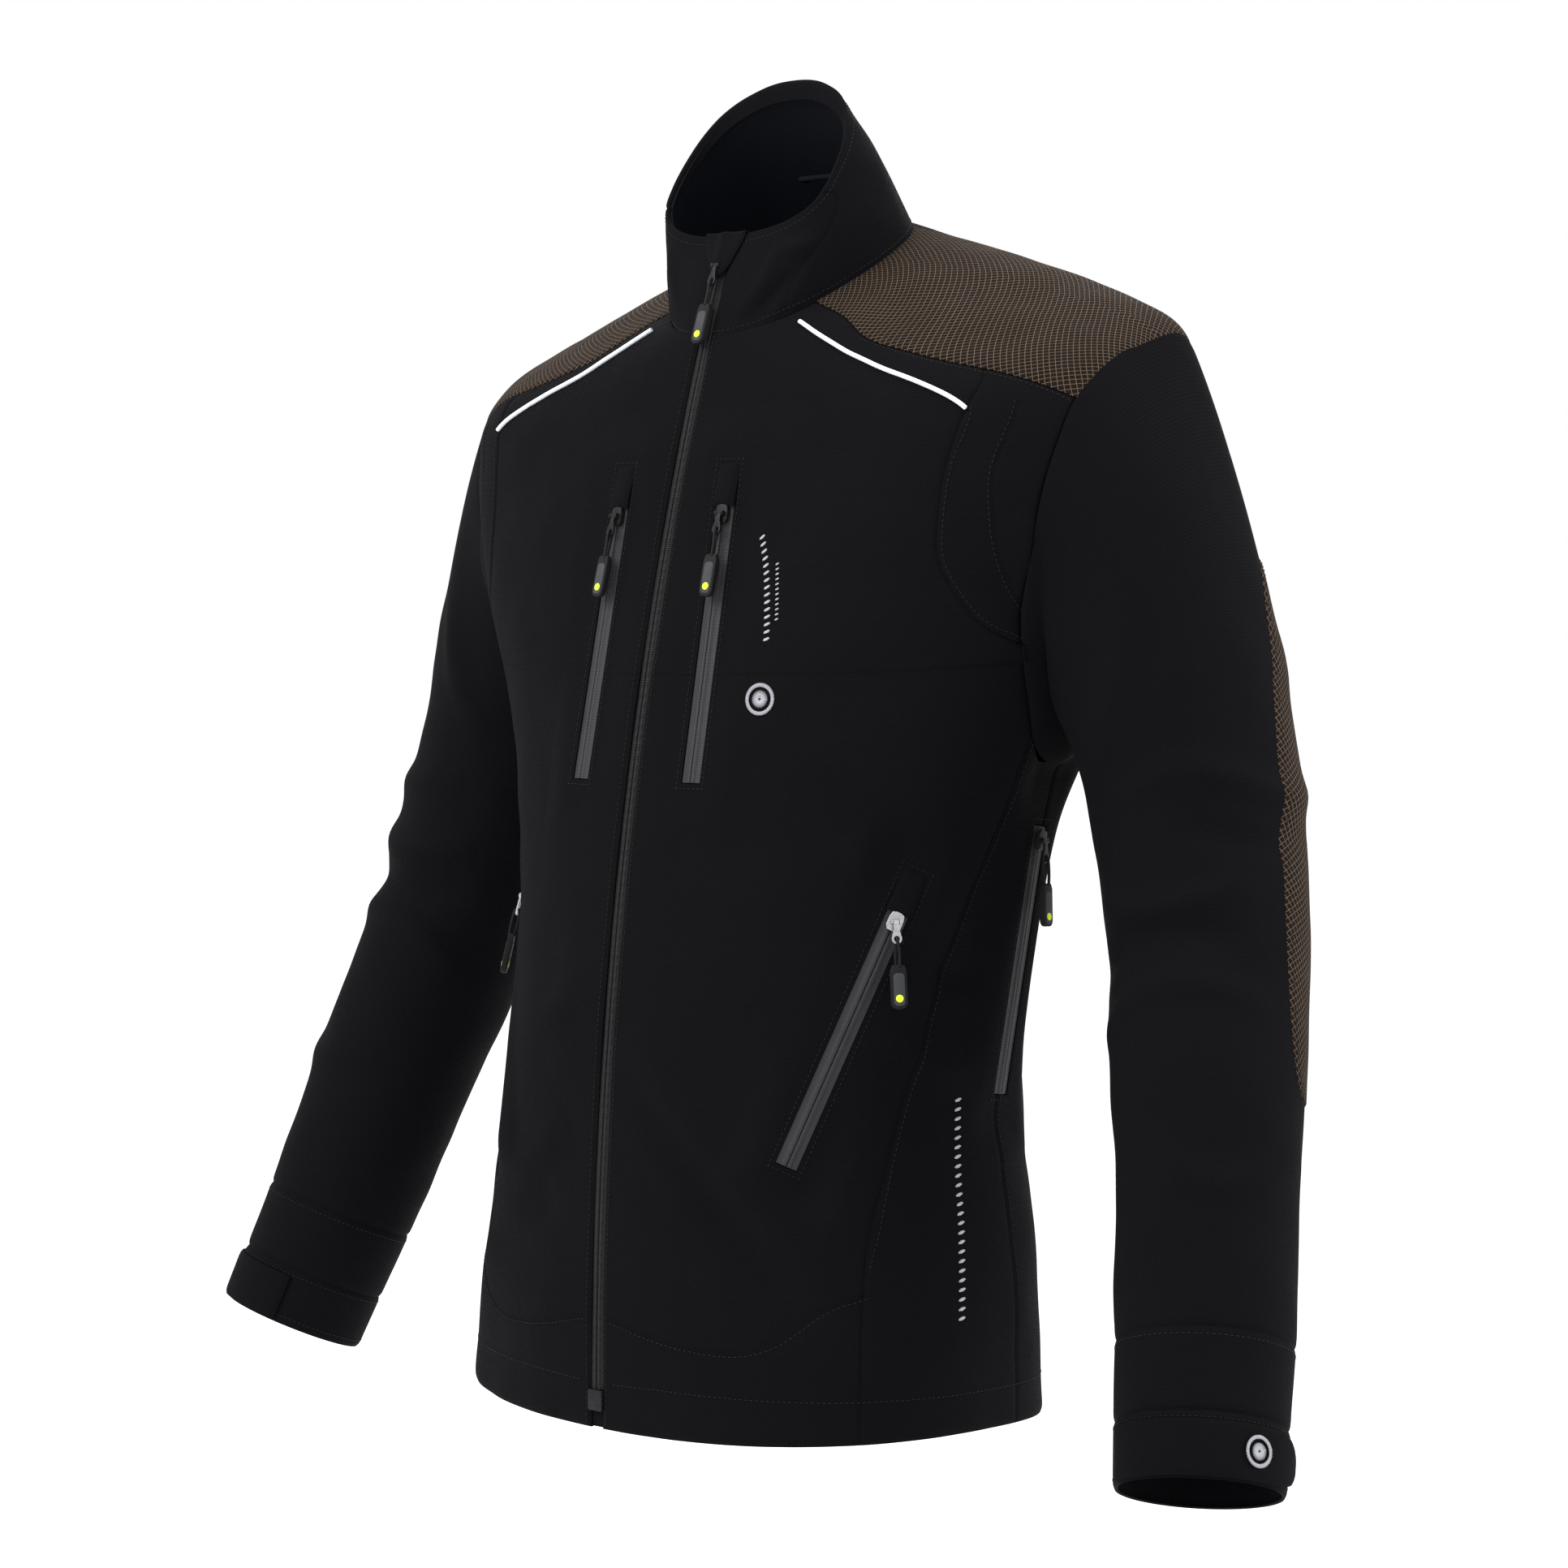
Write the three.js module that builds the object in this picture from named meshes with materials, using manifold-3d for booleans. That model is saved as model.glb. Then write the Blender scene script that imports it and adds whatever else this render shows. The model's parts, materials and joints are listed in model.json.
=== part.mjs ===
// Stretch soft-shell work jacket, standing as it is worn, cut into its sewn panels.
// Millimetres. The origin is the middle of the neck opening at the collar seam, +Z is up,
// -Y is the front and +X is the wearer's left.
import * as THREE from 'three';
import { mergeVertices } from 'three/addons/utils/BufferGeometryUtils.js';
import Module from 'manifold-3d';

const wasm = await Module();
wasm.setup();

// Driving dimensions of the body
const bodyLength = 635; // collar seam to hem, down the front
const hemHalfWidth = 180;
const waistHalfWidth = 158;
const chestHalfWidth = 198;
const shoulderHalfWidth = 252; // of the uncut body, before the armholes are cut
const neckHalfWidth = 69;
const frontDepth = 155; // neck centre forward to the hem
const backDepth = 95; // neck centre back to the hem
const collarBackHeight = 73;
const collarFrontHeight = 57;
const armholeLean = 48; // how far the armhole leans out between pit and shoulder tip
const armholeHalfWidth = 192; // wearer's centre to the pit
// Sleeves
const sleeveLength = 500; // drop from the shoulder tip to the cuff
const cuffReach = 357; // wearer's centre to the middle of the cuff
const cuffRadius = 45;
// Materials
const clothThickness = 2.4;
const liningThickness = 1.6;
const seamGap = 0.4;
const layerGap = 0.9; // between one layer of cloth and the next
// Zips
const tapeWidth = 12.4;
const tapeThickness = 1.2;
const chainWidth = 4.4;
const chainHeight = 1.4;
const tapeSink = 1; // the tape lies this far below the cloth
const runningClearance = 0.4;
const sliderLength = 11;
const sliderWidth = 8.6;
const sliderRoof = 1.5;
const earThickness = 1;
const pullerWidth = 3;
const pullerThickness = 1.4;
const pullerReach = 9.5; // hinge pin to the eye that the cord passes through
const cordWidth = 1.8;
const cordLength = 16;
const tabLength = 24;
const tabWidth = 9;
const tabThickness = 3.4;
const hangLoopWidth = 52;
const hangLoopThickness = 3;

const slotHalfWidth = tapeWidth / 2 + seamGap;
const degree = Math.PI / 180;

// ---- small tools -------------------------------------------------------------------------

function signedVolume(points, index) {
  let volume = 0;
  for (let i = 0; i < index.length; i += 3) {
    const [a, b, c] = [points[index[i]], points[index[i + 1]], points[index[i + 2]]];
    volume += a.dot(new THREE.Vector3().crossVectors(b, c));
  }
  return volume / 6;
}

function solid(points, index) {
  if (signedVolume(points, index) < 0) index.reverse();
  const geometry = new THREE.BufferGeometry().setFromPoints(points);
  geometry.setIndex(index);
  return geometry;
}

// A sheet with a wall: two matching grids of points, outer and inner, closed round the edge.
function sheet(outer, inner, isRing) {
  const rows = outer.length;
  const columns = outer[0].length;
  const at = (i, j, layer) => layer * rows * columns + i * columns + (j % columns);
  const index = [];
  const quad = (a, b, c, d) => index.push(a, b, c, a, c, d);
  const span = isRing ? columns : columns - 1;
  const last = rows - 1;
  for (let j = 0; j < span; j++) {
    for (let i = 0; i < last; i++) {
      quad(at(i, j, 0), at(i, j + 1, 0), at(i + 1, j + 1, 0), at(i + 1, j, 0));
      quad(at(i, j, 1), at(i + 1, j, 1), at(i + 1, j + 1, 1), at(i, j + 1, 1));
    }
    quad(at(0, j + 1, 0), at(0, j, 0), at(0, j, 1), at(0, j + 1, 1));
    quad(at(last, j, 0), at(last, j + 1, 0), at(last, j + 1, 1), at(last, j, 1));
  }
  if (!isRing) {
    for (let i = 0; i < last; i++) {
      quad(at(i, 0, 0), at(i + 1, 0, 0), at(i + 1, 0, 1), at(i, 0, 1));
      quad(at(i + 1, span, 0), at(i, span, 0), at(i, span, 1), at(i + 1, span, 1));
    }
  }
  return solid([...outer.flat(), ...inner.flat()], index);
}

// A flat outline carried along a list of frames (matrices whose X and Y span the outline).
function sweep(outline, frames) {
  const corners = outline.length;
  const points = frames.flatMap((frame) =>
    outline.map(([x, y]) => new THREE.Vector3(x, y, 0).applyMatrix4(frame)));
  const index = [];
  const quad = (a, b, c, d) => index.push(a, b, c, a, c, d);
  for (let i = 0; i < frames.length - 1; i++) {
    for (let j = 0; j < corners; j++) {
      const next = (j + 1) % corners;
      const ring = [i * corners + j, i * corners + next, (i + 1) * corners + next, (i + 1) * corners + j];
      // Opposite sides are split the same way, so that a twisted strip keeps its thickness.
      if (2 * j >= corners) ring.push(ring.shift());
      quad(...ring);
    }
  }
  const outlinePoints = outline.map(([x, y]) => new THREE.Vector2(x, y));
  const start = (frames.length - 1) * corners;
  for (const [a, b, c] of THREE.ShapeUtils.triangulateShape(outlinePoints, [])) {
    index.push(c, b, a, start + a, start + b, start + c);
  }
  return solid(points, index);
}

const rectangle = (x0, x1, y0, y1) => [[x0, y0], [x1, y0], [x1, y1], [x0, y1]];

function toManifold(geometry) {
  const bare = new THREE.BufferGeometry();
  bare.setAttribute('position', geometry.getAttribute('position'));
  bare.setIndex(geometry.getIndex());
  const merged = mergeVertices(bare, 1e-5);
  const mesh = new wasm.Mesh({
    numProp: 3,
    vertProperties: Float32Array.from(merged.getAttribute('position').array),
    triVerts: Uint32Array.from(merged.getIndex().array),
  });
  return new wasm.Manifold(mesh);
}

function fromManifold(manifold) {
  const mesh = manifold.getMesh();
  const geometry = new THREE.BufferGeometry();
  geometry.setAttribute('position', new THREE.BufferAttribute(mesh.vertProperties, 3));
  geometry.setIndex(new THREE.BufferAttribute(mesh.triVerts, 1));
  return geometry;
}

// A smooth run through stations: each column of the rows is read at the level x.
function readStations(rows, x) {
  let i = 0;
  while (i < rows.length - 2 && rows[i + 1][0] < x) i++;
  const slope = (k, column) => {
    const before = rows[Math.max(k - 1, 0)];
    const after = rows[Math.min(k + 1, rows.length - 1)];
    return (after[column] - before[column]) / (after[0] - before[0]);
  };
  const step = rows[i + 1][0] - rows[i][0];
  const t = Math.min(Math.max((x - rows[i][0]) / step, 0), 1);
  const [t2, t3] = [t * t, t * t * t];
  return rows[0].slice(1).map((_, k) => {
    const column = k + 1;
    return (2 * t3 - 3 * t2 + 1) * rows[i][column] + (t3 - 2 * t2 + t) * slope(i, column) * step
      + (3 * t2 - 2 * t3) * rows[i + 1][column] + (t3 - t2) * slope(i + 1, column) * step;
  });
}

// ---- the body surface --------------------------------------------------------------------

// The front closes along one arc in the middle plane, which the main zip follows.
const frontArc = (() => {
  const [a, b, c] = [
    new THREE.Vector2(-0.32 * frontDepth, 30),
    new THREE.Vector2(-0.81 * frontDepth, -0.424 * bodyLength),
    new THREE.Vector2(-frontDepth, -bodyLength),
  ];
  const [ab, ac] = [b.clone().sub(a), c.clone().sub(a)];
  const cross = 2 * ab.cross(ac);
  const centre = new THREE.Vector2(
    a.x + (ac.y * ab.lengthSq() - ab.y * ac.lengthSq()) / cross,
    a.y + (ab.x * ac.lengthSq() - ac.x * ab.lengthSq()) / cross);
  return { y: centre.x, z: centre.y, radius: centre.distanceTo(a) };
})();

const frontY = (z) => frontArc.y - Math.sqrt(frontArc.radius ** 2 - (z - frontArc.z) ** 2);

// level, half width, back y, middle y, front z, back z, lift of the sides, squareness
const bodyStations = [
  [0.00, hemHalfWidth, backDepth, -20, -bodyLength, -1.008 * bodyLength, 8, 2.35],
  [0.12, 0.96 * hemHalfWidth, backDepth + 2, -15, -0.858 * bodyLength, -0.858 * bodyLength, 0, 2.3],
  [0.30, waistHalfWidth, backDepth, -8, -0.677 * bodyLength, -0.677 * bodyLength, 0, 2.25],
  [0.45, waistHalfWidth + 5, backDepth + 3, 0, -0.528 * bodyLength, -0.528 * bodyLength, 0, 2.2],
  [0.58, chestHalfWidth, backDepth + 20, 30, -0.386 * bodyLength, -0.370 * bodyLength, 0, 2.2],
  [0.68, chestHalfWidth + 32, backDepth + 29, 36, -0.283 * bodyLength, -0.236 * bodyLength, 0, 2.3],
  [0.80, shoulderHalfWidth, backDepth + 30, 40, -0.173 * bodyLength, -0.094 * bodyLength, 4, 2.4],
  [0.87, shoulderHalfWidth - 12, backDepth + 23, 40, -72, -8, 6, 2.4],
  [0.94, 0.6 * shoulderHalfWidth, backDepth + 2, 28, -42, 32, 2, 2.2],
  [1.00, neckHalfWidth, backDepth - 20, 10, -23, 55, 4, 2.0],
].map(([level, half, yBack, yMiddle, zFront, zBack, lift, square]) =>
  [level, half, frontY(zFront), yBack, yMiddle, zFront, zBack, lift, square]);

// phi turns from the centre front (0) past the wearer's left (90 degrees) to the back.
function ringPoint(phi, [half, yFront, yBack, yMiddle, zFront, zBack, lift, square]) {
  const [s, c] = [Math.sin(phi), Math.cos(phi)];
  const power = 2 / square;
  const reach = c > 0 ? yFront - yMiddle : yMiddle - yBack;
  const x = half * Math.sign(s) * Math.abs(s) ** power;
  const y = yMiddle + reach * Math.sign(c) * Math.abs(c) ** power;
  const z = zFront + (zBack - zFront) * (y - yFront) / (yBack - yFront) + lift * s * s;
  return new THREE.Vector3(x, y, z);
}

const bodyPoint = (phi, v) => ringPoint(phi, readStations(bodyStations, v));

const neckRing = readStations(bodyStations, 1);
const collarRimZ = neckRing[4] + collarFrontHeight;
const collarRim = [neckHalfWidth - 5, frontY(collarRimZ), 8, -30, collarRimZ,
  neckRing[5] + collarBackHeight, 0, 2.3];

function collarPoint(phi, w) {
  const ring = neckRing.map((value, k) => value + (collarRim[k] - value) * w);
  ring[0] += 4 * Math.sin(Math.PI * w);
  ring[1] = frontY(ring[4]);
  return ringPoint(phi, ring);
}

// A point this far outside a surface (u, v), along its own normal.
function offsetPoint(surface, u, v, distance) {
  const step = 0.004;
  const alongU = surface(u + step, v).sub(surface(u - step, v));
  const alongV = surface(u, Math.min(v + step, 1)).sub(surface(u, Math.max(v - step, 0)));
  return surface(u, v).addScaledVector(alongU.cross(alongV).normalize(), distance);
}

function layer(surface, us, vs, outside, thickness, isRing = false) {
  const grid = (distance) => vs.map((v) => us.map((u) => offsetPoint(surface, u, v, distance)));
  return sheet(grid(outside), grid(outside - thickness), isRing);
}

const steps = (from, to, count) =>
  Array.from({ length: count + 1 }, (_, i) => from + (to - from) * i / count);

// ---- armholes and sleeves ----------------------------------------------------------------

const pitZ = -0.386 * bodyLength;
const tipZ = -30;
const armholeSlope = armholeLean / (tipZ - pitZ);
const armholeX = (z) => armholeHalfWidth + armholeSlope * (z - pitZ);

// Where the armhole plane meets the body surface, as radii by angle round its middle.
const armhole = (() => {
  const ring = [];
  const outside = (phi, v) => {
    const p = bodyPoint(phi, v);
    return p.x - armholeX(p.z);
  };
  const find = (inner, outer, v) => {
    for (let k = 0; k < 30; k++) {
      const middle = (inner + outer) / 2;
      if (outside(middle, v) > 0) outer = middle; else inner = middle;
    }
    return bodyPoint(inner, v);
  };
  for (const v of steps(0.5, 0.99, 160)) {
    if (outside(90 * degree, v) < 0) continue;
    ring.push(find(5 * degree, 90 * degree, v), find(175 * degree, 90 * degree, v));
  }
  const box = new THREE.Box3().setFromPoints(ring);
  const middle = box.getCenter(new THREE.Vector3());
  middle.x = armholeX(middle.z);
  const polar = ring.map((p) => {
    const [dy, dz] = [p.y - middle.y, p.z - middle.z];
    return [Math.atan2(-dy, dz), Math.hypot(dy, dz)];
  }).sort((a, b) => a[0] - b[0]);
  return { middle, polar, box };
})();

function armholePoint(psi) {
  const turn = Math.atan2(Math.sin(psi), Math.cos(psi));
  const { polar, middle } = armhole;
  let next = polar.findIndex(([angle]) => angle > turn);
  if (next < 0) next = 0;
  const before = polar[(next + polar.length - 1) % polar.length];
  const after = polar[next];
  const gap = (after[0] - before[0] + 2 * Math.PI) % (2 * Math.PI);
  const part = gap > 0 ? ((turn - before[0] + 2 * Math.PI) % (2 * Math.PI)) / gap : 0;
  const radius = before[1] + (after[1] - before[1]) * part;
  const y = middle.y - radius * Math.sin(turn);
  const z = middle.z + radius * Math.cos(turn);
  return new THREE.Vector3(armholeX(z), y, z);
}

// share of the sleeve, centre x y z, outward radius, fore-and-aft radius
const drop = (share) => tipZ - 100 - share * sleeveLength;
const reach = (share) => armholeX(-135) + 3 + share * (cuffReach - armholeX(-135) - 3);
const sleeveStations = [
  [0.00, reach(0.00), 38, drop(0.00), 96, 62],
  [0.18, reach(0.22), 38, drop(0.17), 66, 62],
  [0.35, reach(0.39), 33, drop(0.31), 59, 57],
  [0.50, reach(0.54), 18, drop(0.46), cuffRadius + 9, cuffRadius + 9],
  [0.65, reach(0.68), -8, drop(0.62), cuffRadius + 6, cuffRadius + 6],
  [0.82, reach(0.84), -40, drop(0.81), cuffRadius + 2, cuffRadius + 3],
  [1.00, cuffReach, -74, drop(1.00), cuffRadius - 1, cuffRadius],
];
const armholeBlend = 0.22; // share of the sleeve over which the armhole turns into a tube

// psi is 0 at the outside of the arm at the cuff end, and 90 degrees at its front.
function sleevePoint(psi, s) {
  const [x, y, z, out, fore] = readStations(sleeveStations, s);
  const ahead = readStations(sleeveStations, Math.min(s + 0.01, 1));
  const behind = readStations(sleeveStations, Math.max(s - 0.01, 0));
  const along = new THREE.Vector3(ahead[0] - behind[0], ahead[1] - behind[1], ahead[2] - behind[2]);
  along.normalize();
  const foreAxis = new THREE.Vector3(0, -1, 0).addScaledVector(along, along.y).normalize();
  const outAxis = new THREE.Vector3().crossVectors(along, foreAxis).normalize();
  if (outAxis.x < 0) outAxis.negate();
  const tube = new THREE.Vector3(x, y, z)
    .addScaledVector(outAxis, out * Math.cos(psi))
    .addScaledVector(foreAxis, fore * Math.sin(psi));
  const t = Math.min(s / armholeBlend, 1);
  const p = t < 1 ? armholePoint(psi).lerp(tube, t * t * (3 - 2 * t)) : tube;
  p.x = Math.max(p.x, armholeX(p.z) + seamGap + 90 * Math.min(s, 0.1));
  return p;
}

// ---- the object --------------------------------------------------------------------------

const jacket = new THREE.Group();

const finish = {
  softshell: new THREE.MeshStandardMaterial({ color: 0x121215, roughness: 0.85 }),
  gridCloth: new THREE.MeshStandardMaterial({ color: 0x6b5d4f, roughness: 0.9 }),
  lining: new THREE.MeshStandardMaterial({ color: 0x171a24, roughness: 0.9 }),
  piping: new THREE.MeshStandardMaterial({ color: 0xcdd2d8, roughness: 0.35 }),
  tape: new THREE.MeshStandardMaterial({ color: 0x37383a, roughness: 0.6 }),
  blackMetal: new THREE.MeshStandardMaterial({ color: 0x1a1a1c, roughness: 0.45, metalness: 0.6 }),
  silverMetal: new THREE.MeshStandardMaterial({ color: 0x96969b, roughness: 0.35, metalness: 0.9 }),
  rubber: new THREE.MeshStandardMaterial({ color: 0x1b1b1d, roughness: 0.6 }),
};

function add(name, geometry, material, group = jacket) {
  const mesh = new THREE.Mesh(geometry, material);
  mesh.name = name;
  group.add(mesh);
}

// The same shape on the other side of the wearer.
function mirrored(geometry) {
  const copy = geometry.clone().scale(-1, 1, 1);
  copy.getIndex().array.reverse();
  return copy;
}

function addPair(name, geometry, material) {
  add(`left_${name}`, geometry, material);
  add(`right_${name}`, mirrored(geometry), material);
}

// ---- zips let into the cloth ---------------------------------------------------------------

// A zip's frame: origin at the top stop, X across, Y up the zip, Z out of the cloth.
function zipFrame(top, bottom, phi) {
  const upward = top.clone().sub(bottom).normalize();
  const out = new THREE.Vector3(Math.sin(phi), -Math.cos(phi), 0);
  out.addScaledVector(upward, -out.dot(upward)).normalize();
  const across = new THREE.Vector3().crossVectors(upward, out);
  return new THREE.Matrix4().makeBasis(across, upward, out).setPosition(top);
}

// name, phi and level of the top and of the bottom, facing angle, and how far the pull leans out of
// the cloth, so that it clears the flare of the hem at the bottom of the zip
const zipPlan = {
  chest: { top: [6.6, 0.785], bottom: [11.8, 0.538], facing: 5, lean: 3, metal: 'blackMetal' },
  hand: { top: [64.0, 0.440], bottom: [40.8, 0.219], facing: 50, lean: 10, metal: 'silverMetal' },
  vent: { top: [97.0, 0.500], bottom: [97.0, 0.270], facing: 97, lean: 11, metal: 'blackMetal' },
};

const chainTop = chainHeight;
const sliderTop = chainTop + runningClearance + sliderRoof;
const pinHeight = sliderTop + 0.4 + 1.1;

// An outline in X and Z, drawn out along Y between two heights.
function bar(outline, from, to) {
  const shape = new THREE.Shape(outline.map(([x, z]) => new THREE.Vector2(x, z)));
  const geometry = new THREE.ExtrudeGeometry(shape, { depth: to - from, bevelEnabled: false });
  return geometry.rotateX(Math.PI / 2).translate(0, to, 0);
}

const block = (x0, x1, y0, y1, z0, z1) =>
  bar(rectangle(x0, x1, z0, z1), y0, y1);

const join = (...geometries) =>
  fromManifold(geometries.map(toManifold).reduce((whole, part) => whole.add(part)));

const tapeOutline = (inner) => [
  [inner, -tapeThickness], [tapeWidth / 2, -tapeThickness], [tapeWidth / 2, 0],
  [chainWidth / 2, 0], [chainWidth / 2, chainTop], [inner, chainTop],
];

const wholeTapeOutline = [...tapeOutline(0).slice(1, 5),
  ...tapeOutline(0).slice(1, 5).reverse().map(([x, z]) => [-x, z])];

// The saddle rides on the chain; the ears carry the puller's pin and are turned to face the way
// that the pull hangs. On a zip with a fixed eye the puller and the ears are one piece.
function sliderGeometry(saddleFrame, pinFrame, hasFixedEye) {
  const channel = chainWidth / 2 + runningClearance;
  const roof = chainTop + runningClearance;
  const half = sliderWidth / 2;
  const saddle = bar([[-half, runningClearance], [-channel, runningClearance], [-channel, roof],
    [channel, roof], [channel, runningClearance], [half, runningClearance], [half, sliderTop],
    [-half, sliderTop]], -sliderLength / 2, sliderLength / 2).applyMatrix4(saddleFrame);
  const inside = pullerWidth / 2 + 0.3;
  const outside = inside + earThickness;
  const foot = sliderTop - pinHeight - 0.5;
  const ear = (from, to) => block(from, to, -1.4, 1.4, foot, 1.1);
  const pieces = [ear(-outside, -inside), ear(inside, outside)];
  if (hasFixedEye) pieces.push(block(-outside, outside, -1.2, 1.2, -0.7, 0.9), pullerGeometry());
  return join(saddle, ...pieces.map((piece) => piece.applyMatrix4(pinFrame)));
}

// The puller turns on its pin at the origin and ends in a round eye.
function pullerGeometry() {
  const pin = new THREE.CylinderGeometry(1.1, 1.1, pullerWidth, 8).rotateZ(Math.PI / 2);
  const outline = new THREE.Shape();
  const half = pullerWidth / 2;
  const eye = 2.9;
  outline.moveTo(-half, 0).lineTo(half, 0).lineTo(half, -4);
  outline.lineTo(eye, -pullerReach + 1);
  outline.absarc(0, -pullerReach, eye, 0.35, Math.PI - 0.35, true);
  outline.lineTo(-half, -4);
  const hole = new THREE.Path().absarc(0, -pullerReach, 1.55, 0, 2 * Math.PI, false);
  outline.holes.push(hole);
  const plate = new THREE.ExtrudeGeometry(outline,
    { depth: pullerThickness, bevelEnabled: false, curveSegments: 5 });
  return join(pin, plate.translate(0, 0, -pullerThickness / 2));
}

// The pull: a cord through the puller's eye and a moulded tab on its end.
function pullGeometry() {
  const near = pullerThickness / 2 + 0.3;
  const far = near + 1.3;
  const post = 0.9;
  const end = -cordLength;
  const cord = new THREE.Shape([[post, -far], [post, far], [end, far], [end, near], [-post, near],
    [-post, -near], [end, -near], [end, -far]].map(([y, z]) => new THREE.Vector2(y, z)));
  const strand = new THREE.ExtrudeGeometry(cord, { depth: cordWidth, bevelEnabled: false });
  const turn = new THREE.Matrix4().makeBasis(new THREE.Vector3(0, 1, 0),
    new THREE.Vector3(0, 0, 1), new THREE.Vector3(1, 0, 0));
  strand.applyMatrix4(turn).translate(-cordWidth / 2, 0, 0);
  const corner = tabWidth / 2 - 1;
  const tab = new THREE.Shape();
  tab.moveTo(-tabWidth / 2, 0).lineTo(-tabWidth / 2, -tabLength + corner);
  tab.absarc(-1, -tabLength + corner, corner, Math.PI, 1.5 * Math.PI, false);
  tab.absarc(1, -tabLength + corner, corner, 1.5 * Math.PI, 2 * Math.PI, false);
  tab.lineTo(tabWidth / 2, 0);
  const moulding = new THREE.ExtrudeGeometry(tab,
    { depth: tabThickness, bevelEnabled: false, curveSegments: 4 });
  moulding.translate(0, end + 1.5, -tabThickness / 2);
  return join(strand, moulding).translate(0, -pullerReach, 0);
}

// The frame of a pull, turned in the plane of the cloth until it hangs plumb.
function plumbFrame(frame, origin) {
  const out = new THREE.Vector3().setFromMatrixColumn(frame, 2);
  const upward = new THREE.Vector3(0, 0, 1).addScaledVector(out, -out.z).normalize();
  const across = new THREE.Vector3().crossVectors(upward, out);
  return new THREE.Matrix4().makeBasis(across, upward, out)
    .setPosition(origin.clone().applyMatrix4(frame));
}

const zipWindows = [];
const sliderInset = sliderLength / 2 + 2;

for (const [side, sign] of [['left', 1], ['right', -1]]) {
  for (const [kind, plan] of Object.entries(zipPlan)) {
    const place = ([phi, level]) => offsetPoint(bodyPoint, sign * phi * degree, level, -tapeSink / 2);
    const [top, bottom] = [place(plan.top), place(plan.bottom)];
    const frame = zipFrame(top, bottom, sign * plan.facing * degree);
    const length = top.distanceTo(bottom);
    const flips = kind !== 'vent';
    const name = `${side}_${kind}_zip`;
    const put = (piece, geometry, material, matrix = frame) =>
      add(`${name}_${piece}`, geometry.applyMatrix4(matrix), material);
    put('tape', bar(wholeTapeOutline, -length, 0), finish.tape);
    const slider = new THREE.Matrix4().makeTranslation(0, -sliderInset, 0).premultiply(frame);
    const pin = new THREE.Vector3(0, -sliderInset, pinHeight);
    const hanging = flips ? plumbFrame(frame, pin) : frame.clone().setPosition(
      pin.clone().applyMatrix4(frame));
    hanging.multiply(new THREE.Matrix4().makeRotationX(-plan.lean * degree));
    add(`${name}_slider`, sliderGeometry(slider, hanging, !flips), finish[plan.metal]);
    if (flips) put('puller', pullerGeometry(), finish[plan.metal], hanging);
    put('pull', pullGeometry(), finish.rubber, hanging);
    const opening = block(-slotHalfWidth, slotHalfWidth, -length - seamGap, seamGap, -30, 30);
    zipWindows.push(toManifold(opening.applyMatrix4(frame)));
  }
}

// ---- main zip, on the arc of the front ---------------------------------------------------

const arcFrame = (z, sink = tapeSink) => {
  const y = frontY(z);
  const out = new THREE.Vector3(0, y - frontArc.y, z - frontArc.z).normalize();
  const across = new THREE.Vector3(1, 0, 0);
  const upward = new THREE.Vector3().crossVectors(out, across);
  return new THREE.Matrix4().makeBasis(across, out, upward.negate())
    .setPosition(new THREE.Vector3(0, y, z).addScaledVector(out, -sink));
};

const mainTopZ = collarRimZ - 10;
const mainBottomZ = -bodyLength + 22;
const arcFrames = (from, to, count) => steps(from, to, count).map((z) => arcFrame(z));

const halfTape = sweep(tapeOutline(0.15), arcFrames(mainBottomZ, mainTopZ, 16));
add('main_zip_left_tape', halfTape, finish.tape);
add('main_zip_right_tape', mirrored(halfTape), finish.tape);
add('main_zip_box', sweep(rectangle(-5.5, 5.5, -tapeThickness, chainTop + 0.6),
  arcFrames(mainBottomZ - 12, mainBottomZ - 0.4, 1)), finish.blackMetal);

const mainSliderFrame = (() => {
  const frame = arcFrame(mainTopZ - sliderInset);
  const [across, out, down] = [0, 1, 2].map((k) => new THREE.Vector3().setFromMatrixColumn(frame, k));
  return new THREE.Matrix4().makeBasis(across, down.negate(), out)
    .setPosition(new THREE.Vector3().setFromMatrixPosition(frame));
})();
const mainPin = plumbFrame(mainSliderFrame, new THREE.Vector3(0, 0, pinHeight));
add('main_zip_slider', sliderGeometry(mainSliderFrame, mainPin, false), finish.blackMetal);
add('main_zip_puller', pullerGeometry().applyMatrix4(mainPin), finish.blackMetal);
add('main_zip_pull', pullGeometry().applyMatrix4(mainPin), finish.rubber);

const hemLevels = [0.004, 0.045];
const guardClearance = 5.471875; // from the top of the hem band up to the foot of the guard
const guardFoot = bodyPoint(0, hemLevels[1]).z + guardClearance;
const guardRib = -tapeThickness - 0.3;
const guardFace = guardRib - 1.8;
add('zip_guard', sweep([[-14, guardFace - 1.2], [14, guardFace - 1.2], [14, guardFace],
  [-3, guardFace], [-3, guardRib], [-5.6, guardRib], [-5.6, guardFace], [-14, guardFace]],
  arcFrames(guardFoot, -40, 12)), finish.lining);

// ---- body panels, cut from one shell along the seams -------------------------------------

const bodyColumns = steps(0, 351, 39).map((angle) => (angle - 4.5) * degree);
const bodyLevels = [0, 0.045, 0.12, 0.21, 0.3, 0.375, 0.45, 0.515, 0.58, 0.63, 0.68, 0.74, 0.8, 0.835,
  0.87, 0.905, 0.94, 0.97, 1];

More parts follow.
